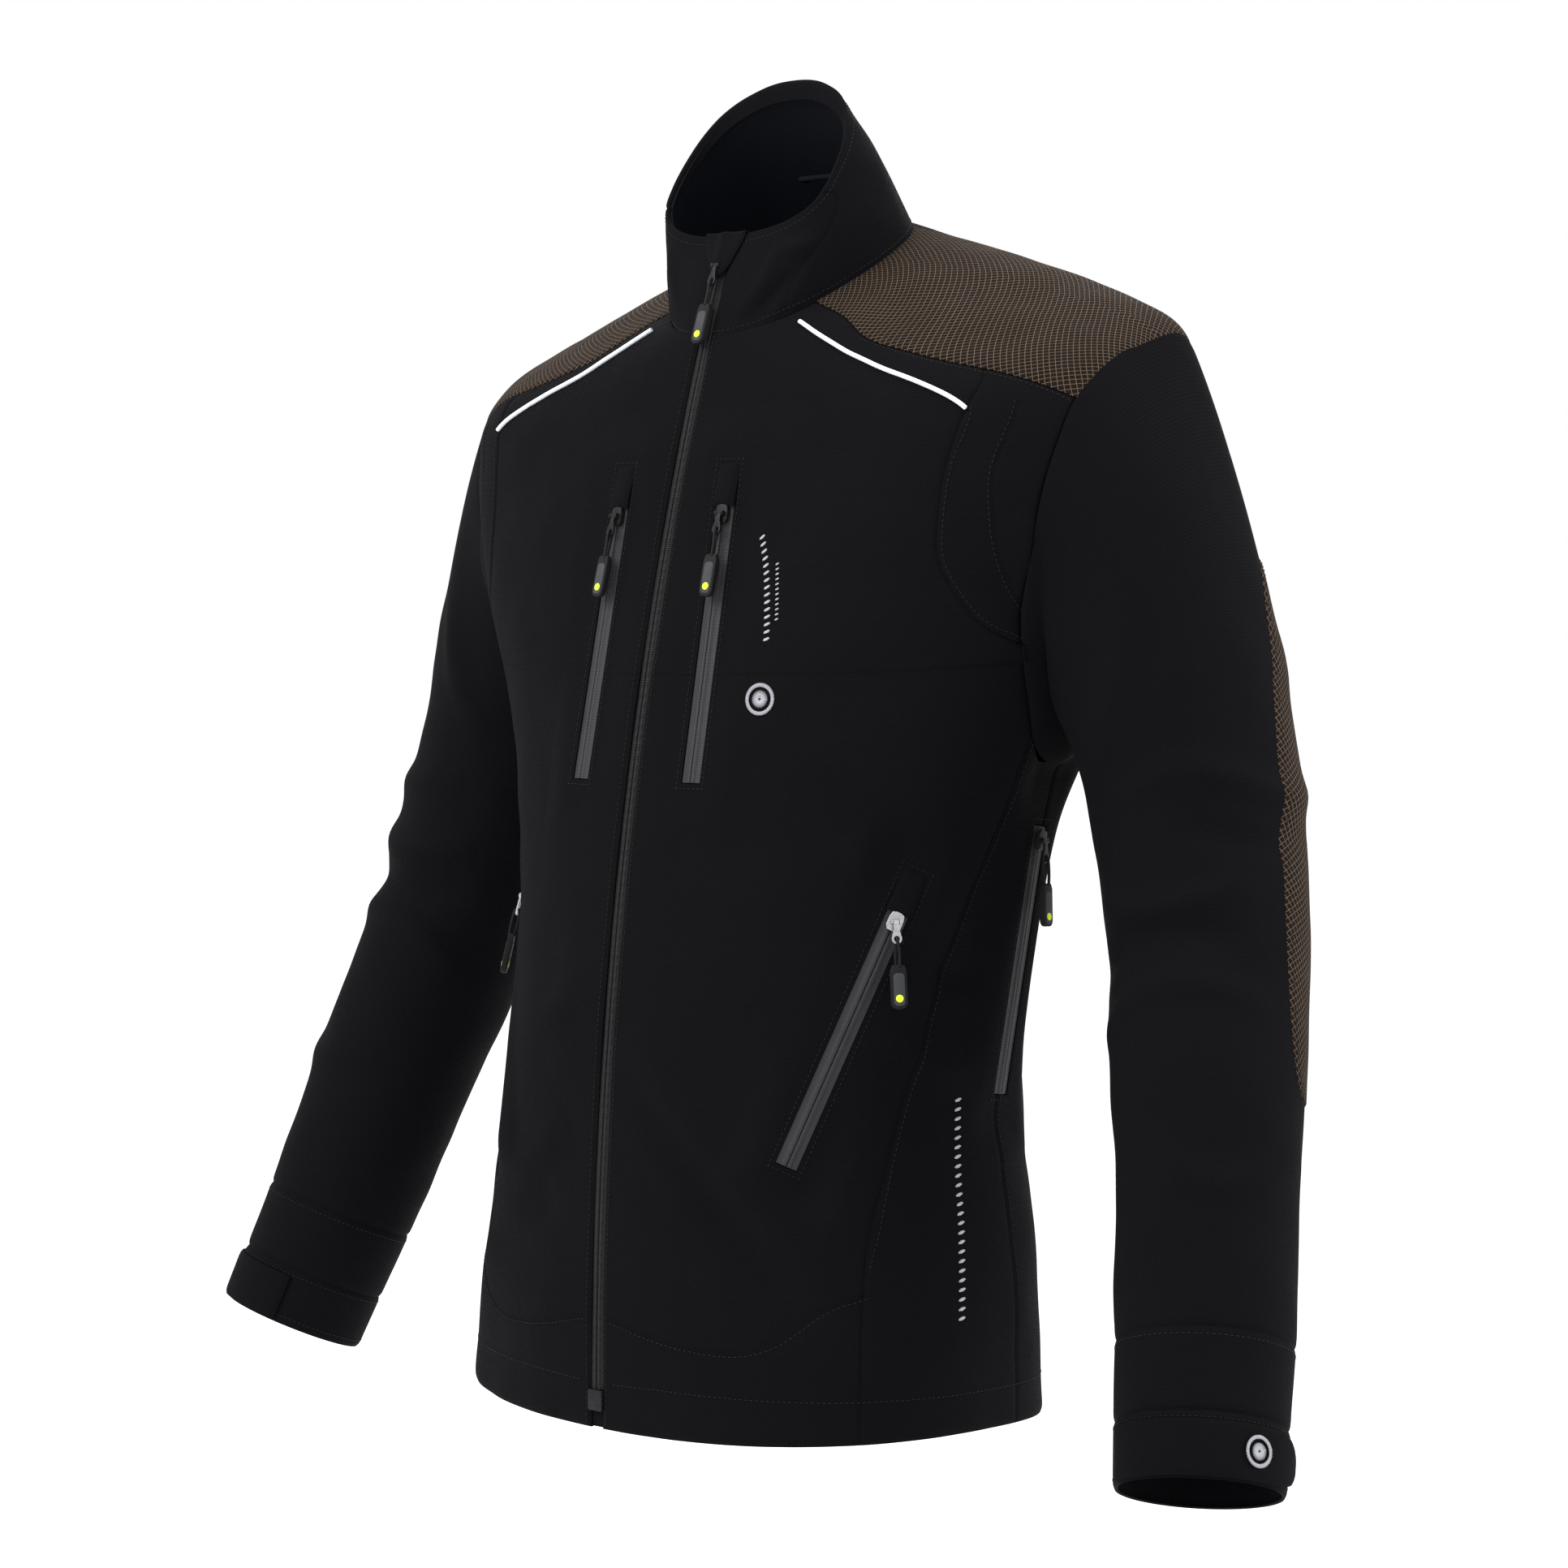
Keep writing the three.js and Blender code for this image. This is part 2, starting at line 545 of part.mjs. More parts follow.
// phi and level of the seams of the left half, from the bottom up
const sideSeam = [[97, -0.03], [96.5, 0.1], [95.5, 0.22], [96, 0.3], [98, 0.39], [98, 0.5], [94, 0.64]];
const princessSeam = [[54.6, -0.03], [57.5, 0.136], [64.7, 0.223], [75, 0.346], [81, 0.444],
  [82, 0.502], [79, 0.563], [80, 0.64]];
const yokeFrontSeam = [[56, 1.03], [52, 0.984], [44.5, 0.947], [46, 0.915], [52, 0.886],
  [64, 0.843], [76, 0.81]];
const yokeBackSeam = [[128, 1.03], [134, 0.95], [130, 0.9], [120, 0.85], [108, 0.81]];

// A place on a seam; past the hem or the neck it runs straight on.
function seamPoint(phi, level, distance) {
  const inside = Math.min(Math.max(level, 0), 1);
  const p = offsetPoint(bodyPoint, phi, inside, distance);
  p.z += (level - inside) * bodyLength;
  return p;
}

function seamCutter(seam, sign) {
  const curve = new THREE.SplineCurve(seam.map(([phi, level]) =>
    new THREE.Vector2(sign * phi * degree, level)));
  const count = 18;
  const places = curve.getPoints(count);
  const points = places.map(({ x, y }) => seamPoint(x, y, 0));
  const frames = points.map((p, i) => {
    const along = points[Math.min(i + 1, count)].clone().sub(points[Math.max(i - 1, 0)]).normalize();
    const out = seamPoint(places[i].x, places[i].y, 1).sub(p);
    out.addScaledVector(along, -out.dot(along)).normalize();
    const across = new THREE.Vector3().crossVectors(along, out);
    return new THREE.Matrix4().makeBasis(across, out, along).setPosition(p);
  });
  return toManifold(sweep(rectangle(-seamGap / 2, seamGap / 2, -9, 6), frames));
}

const farBox = (x0, x1, y0, y1, z0, z1) => toManifold(block(x0, x1, y0, y1, z0, z1));
const frontSlot = farBox(-slotHalfWidth, slotHalfWidth, -400, -20, -bodyLength - 50, 200);

// All beyond the armhole plane, down to where the body comes inside it, with the seam gap.
function armholeCutter(sign) {
  const [low, high] = [pitZ - 0.085 * bodyLength, 200];
  const edge = (z) => armholeX(z) - seamGap / 2;
  const corners = [[edge(low), low], [600, low], [600, high], [edge(high), high]];
  return toManifold(bar(corners.map(([x, z]) => [sign * x, z]), -400, 400));
}

const cuts = [frontSlot, ...zipWindows];
for (const sign of [1, -1]) {
  cuts.push(armholeCutter(sign));
  cuts.push(...[sideSeam, princessSeam, yokeFrontSeam, yokeBackSeam].map((s) => seamCutter(s, sign)));
}
const shell = toManifold(layer(bodyPoint, bodyColumns, bodyLevels, 0, clothThickness, true));
const panels = shell.subtract(wasm.Manifold.union(cuts)).decompose();

// The panel that holds a given place of the cloth.
function panelAt(phi, level) {
  const p = offsetPoint(bodyPoint, phi * degree, level, -clothThickness / 2);
  const probe = farBox(p.x - 2, p.x + 2, p.y - 2, p.y + 2, p.z - 2, p.z + 2);
  const holds = (panel) => panel.intersect(probe).volume();
  return fromManifold(panels.reduce((best, panel) => holds(panel) > holds(best) ? panel : best));
}

add('back_panel', panelAt(180, 0.5), finish.softshell);
for (const [side, sign] of [['left', 1], ['right', -1]]) {
  add(`${side}_front_panel`, panelAt(sign * 30, 0.4), finish.softshell);
  add(`${side}_side_panel`, panelAt(sign * 82, 0.2), finish.softshell);
  add(`${side}_shoulder_yoke`, panelAt(sign * 90, 0.92), finish.gridCloth);
}

add('hem_band', fromManifold(toManifold(layer(bodyPoint, bodyColumns, hemLevels,
  -clothThickness - layerGap, liningThickness, true)).subtract(frontSlot)), finish.lining);

function surfaceFrames(surface, route, count, lift) {
  const curve = new THREE.CatmullRomCurve3(route.map(([phi, v]) =>
    offsetPoint(surface, phi * degree, v, lift)));
  const points = curve.getSpacedPoints(count);
  return points.map((p, i) => {
    const along = points[Math.min(i + 1, count)].clone().sub(points[Math.max(i - 1, 0)]).normalize();
    const out = new THREE.Vector3(0, -1, 1);
    out.addScaledVector(along, -out.dot(along)).normalize();
    return new THREE.Matrix4()
      .makeBasis(new THREE.Vector3().crossVectors(along, out), out, along).setPosition(p);
  });
}

const pipingRadius = 1.5;
const pipingRoute = [[39, 0.985], [36.5, 0.959], [35.8, 0.926], [37, 0.896], [43, 0.853], [48, 0.838]];
const pipingOutline = steps(0, 315 * degree, 7).map((turn) =>
  [pipingRadius * Math.cos(turn), pipingRadius * Math.sin(turn)]);
addPair('piping', sweep(pipingOutline, surfaceFrames(bodyPoint, pipingRoute, 12,
  pipingRadius + layerGap)), finish.piping);

// ---- collar ------------------------------------------------------------------------------

const collarColumns = steps(0, 345, 23).map((angle) => (angle - 7.5) * degree);
const collarLevels = [0.012, 0.33, 0.66, 1];
const collarRing = (outside, thickness) => fromManifold(toManifold(
  layer(collarPoint, collarColumns, collarLevels, outside, thickness, true)).subtract(frontSlot));
add('collar_shell', collarRing(0, clothThickness), finish.softshell);
add('collar_lining', collarRing(-clothThickness - 0.5, liningThickness), finish.lining);

// The loop's legs end on the lining where the neck curves round to them.
const loopAngle = 157 * degree;
const loopLevels = [0.33, 0.36];
const loopSeats = loopLevels.map((level) => offsetPoint(collarPoint, loopAngle, level,
  -clothThickness - liningThickness - 0.5));
const loopY = Math.min(...loopSeats.map((seat) => seat.y)) - seamGap;
const loopOutline = new THREE.Shape([[-0.5, 0], [-0.5, -12], [0.5, -12], [0.5, 0], [0.38, 0],
  [0.38, -6], [-0.38, -6], [-0.38, 0]].map(([x, y]) => new THREE.Vector2(x * hangLoopWidth, y)));
const loop = new THREE.ExtrudeGeometry(loopOutline, { depth: hangLoopThickness, bevelEnabled: false });
add('hang_loop', loop.translate(0, loopY, loopSeats[0].z), finish.softshell);

// ---- pocket bags, inside the fronts ------------------------------------------------------

const bagDepth = -clothThickness - layerGap - 0.4;
const bag = (phis, levels) => layer(bodyPoint, steps(...phis, 5).map((phi) => phi * degree),
  steps(...levels, 6), bagDepth, liningThickness);
addPair('chest_pocket_bag', bag([19, 41], [0.54, 0.76]), finish.lining);
addPair('hand_pocket_bag', bag([10, 33], [0.07, 0.4]), finish.lining);

// ---- sleeves -----------------------------------------------------------------------------

const sleeveColumns = steps(0, 340, 17).map((angle) => angle * degree);
const upperLevels = [0.004, 0.07, 0.14, 0.22, 0.31, 0.4, 0.4995];
const forearmLevels = [0.5005, 0.6, 0.7, 0.8, 0.88, 0.9465];
const cuffLevels = [0.9475, 0.975, 1];
// Both faces of a sleeve stay clear of the armhole's edge.
const sleeveGrid = (levels, distance) => levels.map((s) => sleeveColumns.map((psi) => {
  const p = offsetPoint(sleevePoint, psi, s, distance);
  p.x = Math.max(p.x, armholeX(p.z) + seamGap);
  return p;
}));
const sleeve = (levels, outside, thickness) =>
  sheet(sleeveGrid(levels, outside), sleeveGrid(levels, outside - thickness), true);
const patchColumns = steps(-120, -20, 5).map((angle) => angle * degree);
const patch = (columns, levels, outside, thickness) =>
  layer(sleevePoint, columns, levels, outside, thickness);
addPair('upper_sleeve', sleeve(upperLevels, 0, clothThickness), finish.softshell);
addPair('forearm_sleeve', sleeve(forearmLevels, 0, clothThickness), finish.softshell);
addPair('cuff_band', sleeve(cuffLevels, 0, clothThickness), finish.softshell);
const patchThickness = 1.2;
addPair('elbow_patch_upper', patch(patchColumns, upperLevels.slice(3), layerGap + patchThickness,
  patchThickness), finish.gridCloth);
addPair('elbow_patch_lower', patch(patchColumns, forearmLevels.slice(0, 3), layerGap + patchThickness,
  patchThickness), finish.gridCloth);
const tabColumns = steps(-40, 120, 8).map((angle) => angle * degree);
addPair('cuff_tab', patch(tabColumns, [0.95, 0.975, 0.998], layerGap + clothThickness,
  clothThickness), finish.softshell);

export default jacket;
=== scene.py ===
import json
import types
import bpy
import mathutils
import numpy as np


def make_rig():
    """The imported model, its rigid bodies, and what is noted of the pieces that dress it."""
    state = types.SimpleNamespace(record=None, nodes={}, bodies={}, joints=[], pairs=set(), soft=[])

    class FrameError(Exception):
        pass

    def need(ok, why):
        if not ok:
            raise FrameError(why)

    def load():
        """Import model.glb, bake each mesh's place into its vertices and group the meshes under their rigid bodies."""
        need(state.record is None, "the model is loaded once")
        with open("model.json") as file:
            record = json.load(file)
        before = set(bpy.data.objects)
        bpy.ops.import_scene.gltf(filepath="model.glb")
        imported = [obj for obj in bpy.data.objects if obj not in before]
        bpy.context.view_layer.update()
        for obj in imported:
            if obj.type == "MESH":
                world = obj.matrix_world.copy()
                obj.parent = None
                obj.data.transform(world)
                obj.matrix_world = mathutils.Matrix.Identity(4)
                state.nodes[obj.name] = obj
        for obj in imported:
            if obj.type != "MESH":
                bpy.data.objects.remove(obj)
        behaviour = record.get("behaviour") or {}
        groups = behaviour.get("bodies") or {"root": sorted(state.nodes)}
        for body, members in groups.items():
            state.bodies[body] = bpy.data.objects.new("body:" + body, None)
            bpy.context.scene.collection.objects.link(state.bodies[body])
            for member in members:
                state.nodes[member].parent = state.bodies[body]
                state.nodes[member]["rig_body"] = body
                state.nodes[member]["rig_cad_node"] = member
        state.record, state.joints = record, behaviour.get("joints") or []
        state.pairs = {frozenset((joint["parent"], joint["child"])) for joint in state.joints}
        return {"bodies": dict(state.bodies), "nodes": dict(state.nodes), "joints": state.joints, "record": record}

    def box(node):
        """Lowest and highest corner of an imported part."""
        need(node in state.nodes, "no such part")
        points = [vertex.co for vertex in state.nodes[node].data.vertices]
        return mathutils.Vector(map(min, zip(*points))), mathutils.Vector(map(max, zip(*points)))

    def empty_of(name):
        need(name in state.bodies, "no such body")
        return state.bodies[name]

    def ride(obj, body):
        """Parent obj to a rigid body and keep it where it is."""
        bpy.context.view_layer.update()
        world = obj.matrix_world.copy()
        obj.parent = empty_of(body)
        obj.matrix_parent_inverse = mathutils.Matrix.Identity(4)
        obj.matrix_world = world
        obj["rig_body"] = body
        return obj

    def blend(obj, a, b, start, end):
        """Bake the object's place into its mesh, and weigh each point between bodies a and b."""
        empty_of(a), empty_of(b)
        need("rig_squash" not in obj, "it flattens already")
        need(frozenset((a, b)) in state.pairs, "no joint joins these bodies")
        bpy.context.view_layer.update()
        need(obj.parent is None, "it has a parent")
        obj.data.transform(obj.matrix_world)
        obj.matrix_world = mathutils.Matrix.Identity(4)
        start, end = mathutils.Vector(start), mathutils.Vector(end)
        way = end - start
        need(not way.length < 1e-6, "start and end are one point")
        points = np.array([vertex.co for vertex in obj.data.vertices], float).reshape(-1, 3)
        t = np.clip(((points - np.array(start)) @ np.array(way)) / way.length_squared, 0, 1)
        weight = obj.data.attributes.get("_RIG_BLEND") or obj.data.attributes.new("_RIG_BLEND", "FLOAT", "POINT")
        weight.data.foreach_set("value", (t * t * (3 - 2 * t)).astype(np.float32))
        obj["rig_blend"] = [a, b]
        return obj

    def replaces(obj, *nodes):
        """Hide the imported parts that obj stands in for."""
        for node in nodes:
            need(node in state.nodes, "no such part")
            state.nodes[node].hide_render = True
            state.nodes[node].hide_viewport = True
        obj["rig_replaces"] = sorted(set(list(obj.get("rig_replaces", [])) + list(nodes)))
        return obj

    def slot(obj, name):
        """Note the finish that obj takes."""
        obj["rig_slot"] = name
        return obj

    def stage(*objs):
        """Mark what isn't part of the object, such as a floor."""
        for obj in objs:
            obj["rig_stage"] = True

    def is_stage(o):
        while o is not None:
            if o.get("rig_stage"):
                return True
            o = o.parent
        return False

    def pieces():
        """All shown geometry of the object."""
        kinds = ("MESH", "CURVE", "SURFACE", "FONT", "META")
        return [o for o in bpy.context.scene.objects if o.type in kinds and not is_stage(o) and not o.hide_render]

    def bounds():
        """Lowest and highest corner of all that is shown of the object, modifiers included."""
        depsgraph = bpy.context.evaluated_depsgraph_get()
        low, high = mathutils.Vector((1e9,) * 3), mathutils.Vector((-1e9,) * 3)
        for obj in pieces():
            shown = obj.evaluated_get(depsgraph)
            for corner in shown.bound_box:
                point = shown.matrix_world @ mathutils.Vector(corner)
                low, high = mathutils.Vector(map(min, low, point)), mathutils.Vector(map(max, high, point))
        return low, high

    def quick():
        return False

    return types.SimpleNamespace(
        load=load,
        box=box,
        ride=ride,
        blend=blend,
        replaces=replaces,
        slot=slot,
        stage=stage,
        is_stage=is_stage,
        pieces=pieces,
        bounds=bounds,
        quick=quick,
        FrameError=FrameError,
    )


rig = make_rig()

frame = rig.load()

import json
import math

import bmesh
import bpy
import numpy as np
from mathutils import Matrix, Vector

cadBox = [[float(value) for value in corner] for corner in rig.bounds()]
turn = math.pi / 180
joints = {joint["name"]: joint for joint in frame["joints"]}
root = "jacket_body"

# The jacket's own measures, the same as the solid model's, in metres
jacket = dict(
    length=0.635, hemHalf=0.180, waistHalf=0.158, chestHalf=0.198, shoulderHalf=0.252,
    neckHalf=0.069, frontDepth=0.155, backDepth=0.095, collarBack=0.073, collarFront=0.057,
    armholeLean=0.048, armholeHalf=0.192, sleeveDrop=0.500, cuffReach=0.357, cuffRadius=0.045,
)
cloth = dict(thickness=0.0016, cell=0.0021 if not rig.quick() else 0.005, seamDip=0.0011)


def linked(name, data):
    made = bpy.data.objects.new(name, data)
    bpy.context.scene.collection.objects.link(made)
    return made


# A mesh from its points and faces; a UV is given for each point.
def meshOf(name, points, faces, uvs=None):
    mesh = bpy.data.meshes.new(name)
    mesh.from_pydata(np.asarray(points, float).tolist(), [], faces)
    if uvs is not None:
        layer = mesh.uv_layers.new(name="cloth")
        corners = np.empty(len(mesh.loops), int)
        mesh.loops.foreach_get("vertex_index", corners)
        layer.data.foreach_set("uv", np.asarray(uvs, np.float32)[corners].ravel())
    return mesh


def dressed(name, mesh, material, slotName, smooth):
    mesh.materials.append(material)
    mesh.shade_smooth()
    mesh.set_sharp_from_angle(angle=smooth * turn)
    made = linked(name, mesh)
    if slotName:
        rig.slot(made, slotName)
    return made


# ---- camera, floor and light ---------------------------------------------------------------

view = dict(azimuth=42.7 * turn, elevation=2.49 * turn, distance=2.235, aim=(0, 0, -0.28), lens=87.86,
            floor=-1.15, floorHalf=40)


def toward(azimuth, elevation):
    flat = math.cos(elevation)
    return Vector((math.sin(azimuth) * flat, -math.cos(azimuth) * flat, math.sin(elevation)))


def makeStudio():
    camera = linked("camera", bpy.data.cameras.new("camera"))
    camera.data.lens = view["lens"]
    camera.data.sensor_width = 36
    direction = toward(view["azimuth"], view["elevation"])
    camera.location = Vector(view["aim"]) + direction * view["distance"]
    camera.rotation_euler = direction.to_track_quat("Z", "Y").to_euler()
    bpy.context.scene.camera = camera
    world = bpy.data.worlds.new("studio")
    world.use_nodes = True
    world.node_tree.nodes["Background"].inputs[0].default_value = (1, 1, 1, 1)
    world.node_tree.nodes["Background"].inputs[1].default_value = 1.0
    bpy.context.scene.world = world
    # name, azimuth, elevation, distance, size, power
    for name, azimuth, elevation, distance, size, power in (
        ("key", -20, 40, 2.4, 1.6, 52),
        ("side", 115, 20, 2.2, 1.4, 34),
        ("top", 60, 80, 2.2, 1.8, 26),
        ("back", 215, 35, 2.6, 1.8, 26),
    ):
        light = bpy.data.lights.new(name, "AREA")
        light.energy = power
        light.size = size
        lamp = linked(name, light)
        aim = toward(azimuth * turn, elevation * turn)
        lamp.location = Vector(view["aim"]) + aim * distance
        lamp.rotation_euler = aim.to_track_quat("Z", "Y").to_euler()
    bpy.context.scene.view_settings.view_transform = "Standard"
    far = view["floorHalf"]
    corners = [(x, y, view["floor"]) for x, y in ((-far, -far), (far, -far), (far, far), (-far, far))]
    mesh = meshOf("floor", corners, [(0, 1, 2, 3)])
    mesh.materials.append(paleFloor("floor"))
    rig.stage(linked("floor", mesh))


# ---- node trees: sockets that can be written as sums ------------------------------------------

class Value:
    def __init__(self, tree, socket):
        self.tree, self.socket = tree, socket

    def maths(self, operation, *others):
        return self.tree.node("ShaderNodeMath", {"operation": operation}, *((self,) + others))

    def __add__(self, other):
        return self.maths("ADD", other)

    def __mul__(self, other):
        return self.maths("MULTIPLY", other)

    def __sub__(self, other):
        return self.maths("SUBTRACT", other)

    __radd__ = __add__
    __rmul__ = __mul__


class Tree:
    def __init__(self, tree):
        self.tree = tree

    # A node of a kind; its settings go on first, then its inputs, by place or by name.
    def node(self, kind, settings=None, *values, output=0, **named):
        made = self.tree.nodes.new(kind)
        for key, value in (settings or {}).items():
            setattr(made, key, value)
        pairs = list(enumerate(values)) + [(key.replace("_", " "), value) for key, value in named.items()]
        for key, value in pairs:
            if value is None:
                continue
            if isinstance(value, Value):
                self.tree.links.new(value.socket, made.inputs[key])
            else:
                made.inputs[key].default_value = value
        return Value(self, made.outputs[output])


def opaque(colour):
    return (*colour, 1)


class Material(Tree):
    def __init__(self, name):
        self.material = bpy.data.materials.new(name)
        self.material.use_nodes = True
        super().__init__(self.material.node_tree)
        self.shader = self.tree.nodes["Principled BSDF"]

    def uv(self):
        return self.node("ShaderNodeTexCoord", output="UV")

    def place(self):
        return self.node("ShaderNodeTexCoord", output="Object")

    def split(self, vector, axis):
        return self.node("ShaderNodeSeparateXYZ", None, vector, output=axis)

    def noise(self, vector, scale, detail=3):
        return self.node("ShaderNodeTexNoise", None, Vector=vector, Scale=scale, Detail=detail)

    def mix(self, share, first, second):
        return self.node("ShaderNodeMix", {"data_type": "RGBA"}, share, None, None, None, None, None,
                         first, second, output=2)

    def wave(self, value, period):
        return (value * (2 * math.pi / period)).maths("SINE") * 0.5 + 0.5

    def bump(self, height, depth, normal=None):
        return self.node("ShaderNodeBump", None, Height=height, Strength=1.0, Distance=depth,
                         Normal=normal)

    def finish(self, **sockets):
        for key, value in sockets.items():
            socket = self.shader.inputs[key.replace("_", " ")]
            if isinstance(value, Value):
                self.tree.links.new(value.socket, socket)
            else:
                socket.default_value = value
        return self.material


def between(value, low, high):
    return value * (high - low) + low


def softshellCloth(name, dark, light, pitch=0.0011):
    made = Material(name)
    uv, place = made.uv(), made.place()
    along, across = made.split(uv, "Y"), made.split(uv, "X")
    wobble = made.noise(place, 160, 2)
    ribs = made.wave(along + wobble * 0.0006, pitch)
    threads = made.wave(across + wobble * 0.0004, pitch * 0.8)
    weave = ribs * 0.7 + threads * 0.3
    slub = made.noise(made.node("ShaderNodeMapping", None, Vector=uv, Scale=(300, 3200, 1)), 1, 2)
    cloudy = made.noise(place, 9, 3)
    tone = (weave * 0.35 + slub * 0.45 + cloudy * 0.3).maths("MINIMUM", 1)
    colour = made.mix(tone, opaque(dark), opaque(light))
    return made.finish(
        Base_Color=colour, Roughness=between(slub, 0.72, 0.9), Sheen_Weight=0.004, Sheen_Roughness=0.5,
        Specular_IOR_Level=0.025,
        Normal=made.bump(weave * 0.7 + slub * 0.6, 0.00025),
    )


def gridMesh(name):
    made = Material(name)
    uv, place = made.uv(), made.place()
    cell, slant = 0.0031, 0.62
    wobble = made.noise(place, 150, 2) * 0.0003
    across, along = made.split(uv, "X"), made.split(uv, "Y")
    first = across * math.cos(slant) + along * math.sin(slant) + wobble
    second = along * math.cos(slant) - across * math.sin(slant) + wobble

    def line(value, width):
        wave = (value * (2 * math.pi / cell)).maths("COSINE") * 0.5 + 0.5
        return made.node("ShaderNodeMapRange", {"interpolation_type": "SMOOTHSTEP"}, wave,
                         1 - width, 1 - width * 0.35, 0.0, 1.0)

    mesh = line(first, 0.080).maths("MAXIMUM", line(second, 0.062))
    twist = made.wave(across + along, 0.0009)
    fleck = made.noise(place, 800, 2)
    patchy = made.noise(place, 45, 3)
    yarn = made.mix(twist * 0.4 + patchy * 0.6, (0.058, 0.037, 0.025, 1), (0.138, 0.100, 0.074, 1))
    ground = made.mix(fleck, (0.0040, 0.0028, 0.0021, 1), (0.014, 0.010, 0.0075, 1))
    return made.finish(
        Base_Color=made.mix(mesh, ground, yarn), Roughness=between(mesh, 0.95, 0.75),
        Specular_IOR_Level=0.05, Normal=made.bump(mesh + twist * 0.15, 0.0005),
    )


def liningCloth(name):
    made = Material(name)
    place = made.place()
    nap = made.noise(place, 1400, 3)
    cloud = made.noise(place, 14, 3)
    colour = made.mix(nap * 0.6 + cloud * 0.4, (0.0035, 0.0042, 0.0060, 1), (0.0105, 0.0120, 0.0165, 1))
    return made.finish(Base_Color=colour, Roughness=between(nap, 0.85, 1.0), Sheen_Weight=0.004,
                       Specular_IOR_Level=0.03, Normal=made.bump(nap, 0.0003))


def reflectiveTape(name):
    made = Material(name)
    uv, place = made.uv(), made.place()
    grain = made.noise(place, 1800, 2)
    weave = made.wave(made.split(uv, "Y"), 0.0009)
    colour = made.mix(grain * 0.5 + weave * 0.5, (0.56, 0.60, 0.66, 1), (0.86, 0.88, 0.92, 1))
    return made.finish(Base_Color=colour, Roughness=between(grain, 0.3, 0.5),
                       Normal=made.bump(weave, 0.0001))


def coatedTape(name, dark, light):
    made = Material(name)
    uv, place = made.uv(), made.place()
    ribs = made.wave(made.split(uv, "Y"), 0.0011)
    scuff = made.noise(place, 60, 4)
    grain = made.noise(place, 1500, 2)
    colour = made.mix(scuff * 0.6 + ribs * 0.4, opaque(dark), opaque(light))
    return made.finish(Base_Color=colour, Roughness=between(scuff, 0.42, 0.62), Specular_IOR_Level=0.2,
                       Normal=made.bump(ribs * 0.7 + grain * 0.3, 0.00016))


def castMetal(name, dark, light, metallic, rough, gloss=0.5):
    made = Material(name)
    place = made.place()
    worn = made.noise(place, 420, 4)
    grain = made.noise(place, 2600, 2)
    colour = made.mix(worn, opaque(dark), opaque(light))
    return made.finish(Base_Color=colour, Metallic=metallic, Roughness=between(worn, rough, rough + 0.2),
                       Specular_IOR_Level=gloss,
                       Normal=made.bump(grain, 0.00006))


def mouldedRubber(name, dark, light):
    made = Material(name)
    place = made.place()
    grain = made.noise(place, 2200, 2)
    cloud = made.noise(place, 120, 3)
    colour = made.mix(cloud, opaque(dark), opaque(light))
    return made.finish(Base_Color=colour, Roughness=between(grain, 0.5, 0.7), Specular_IOR_Level=0.12,
                       Normal=made.bump(grain, 0.00008))


def paleFloor(name):
    made = Material(name)
    cloud = made.noise(made.place(), 3, 2)
    return made.finish(Base_Color=made.mix(cloud, (0.93, 0.93, 0.93, 1), (0.97, 0.97, 0.97, 1)), Roughness=0.9,
                       Specular_IOR_Level=0.1, Emission_Color=(1, 1, 1, 1), Emission_Strength=0.12)


def thread(name, dark, light):
    made = Material(name)
    place = made.place()
    fibre = made.noise(place, 2400, 2)
    return made.finish(Base_Color=made.mix(fibre, opaque(dark), opaque(light)), Roughness=0.6,
                       Specular_IOR_Level=0.2, Normal=made.bump(fibre, 0.00008))


softshell = softshellCloth("softshell", (0.0010, 0.0010, 0.0013), (0.0058, 0.0055, 0.0071))
reinforcement = softshellCloth("reinforcement", (0.0012, 0.0011, 0.0014), (0.0054, 0.0052, 0.0064), 0.0008)
gridCloth = gridMesh("grid_cloth")
lining = liningCloth("lining")
piping = reflectiveTape("piping")
zipTape = coatedTape("zip_tape", (0.0135, 0.0135, 0.0148), (0.0324, 0.0324, 0.0365))
zipCoil = coatedTape("zip_coil", (0.003, 0.003, 0.0034), (0.009, 0.009, 0.010))
mainTape = coatedTape("main_tape", (0.0025, 0.0025, 0.003), (0.007, 0.007, 0.008))
blackMetal = castMetal("black_metal", (0.006, 0.006, 0.0065), (0.020, 0.020, 0.022), 0.5, 0.3, 0.15)
silverMetal = castMetal("silver_metal", (0.33, 0.33, 0.35), (0.55, 0.55, 0.58), 1.0, 0.28)
pullRubber = mouldedRubber("pull_rubber", (0.004, 0.004, 0.0045), (0.010, 0.010, 0.011))
tabInset = mouldedRubber("tab_inset", (0.030, 0.031, 0.034), (0.050, 0.052, 0.056))
lime = mouldedRubber("lime", (0.55, 0.80, 0.03), (0.68, 0.92, 0.05))
blackThread = thread("black_thread", (0.0045, 0.0045, 0.005), (0.014, 0.014, 0.016))
greyThread = thread("grey_thread", (0.23, 0.23, 0.255), (0.46, 0.46, 0.50))


# ---- meshes ----------------------------------------------------------------------------------

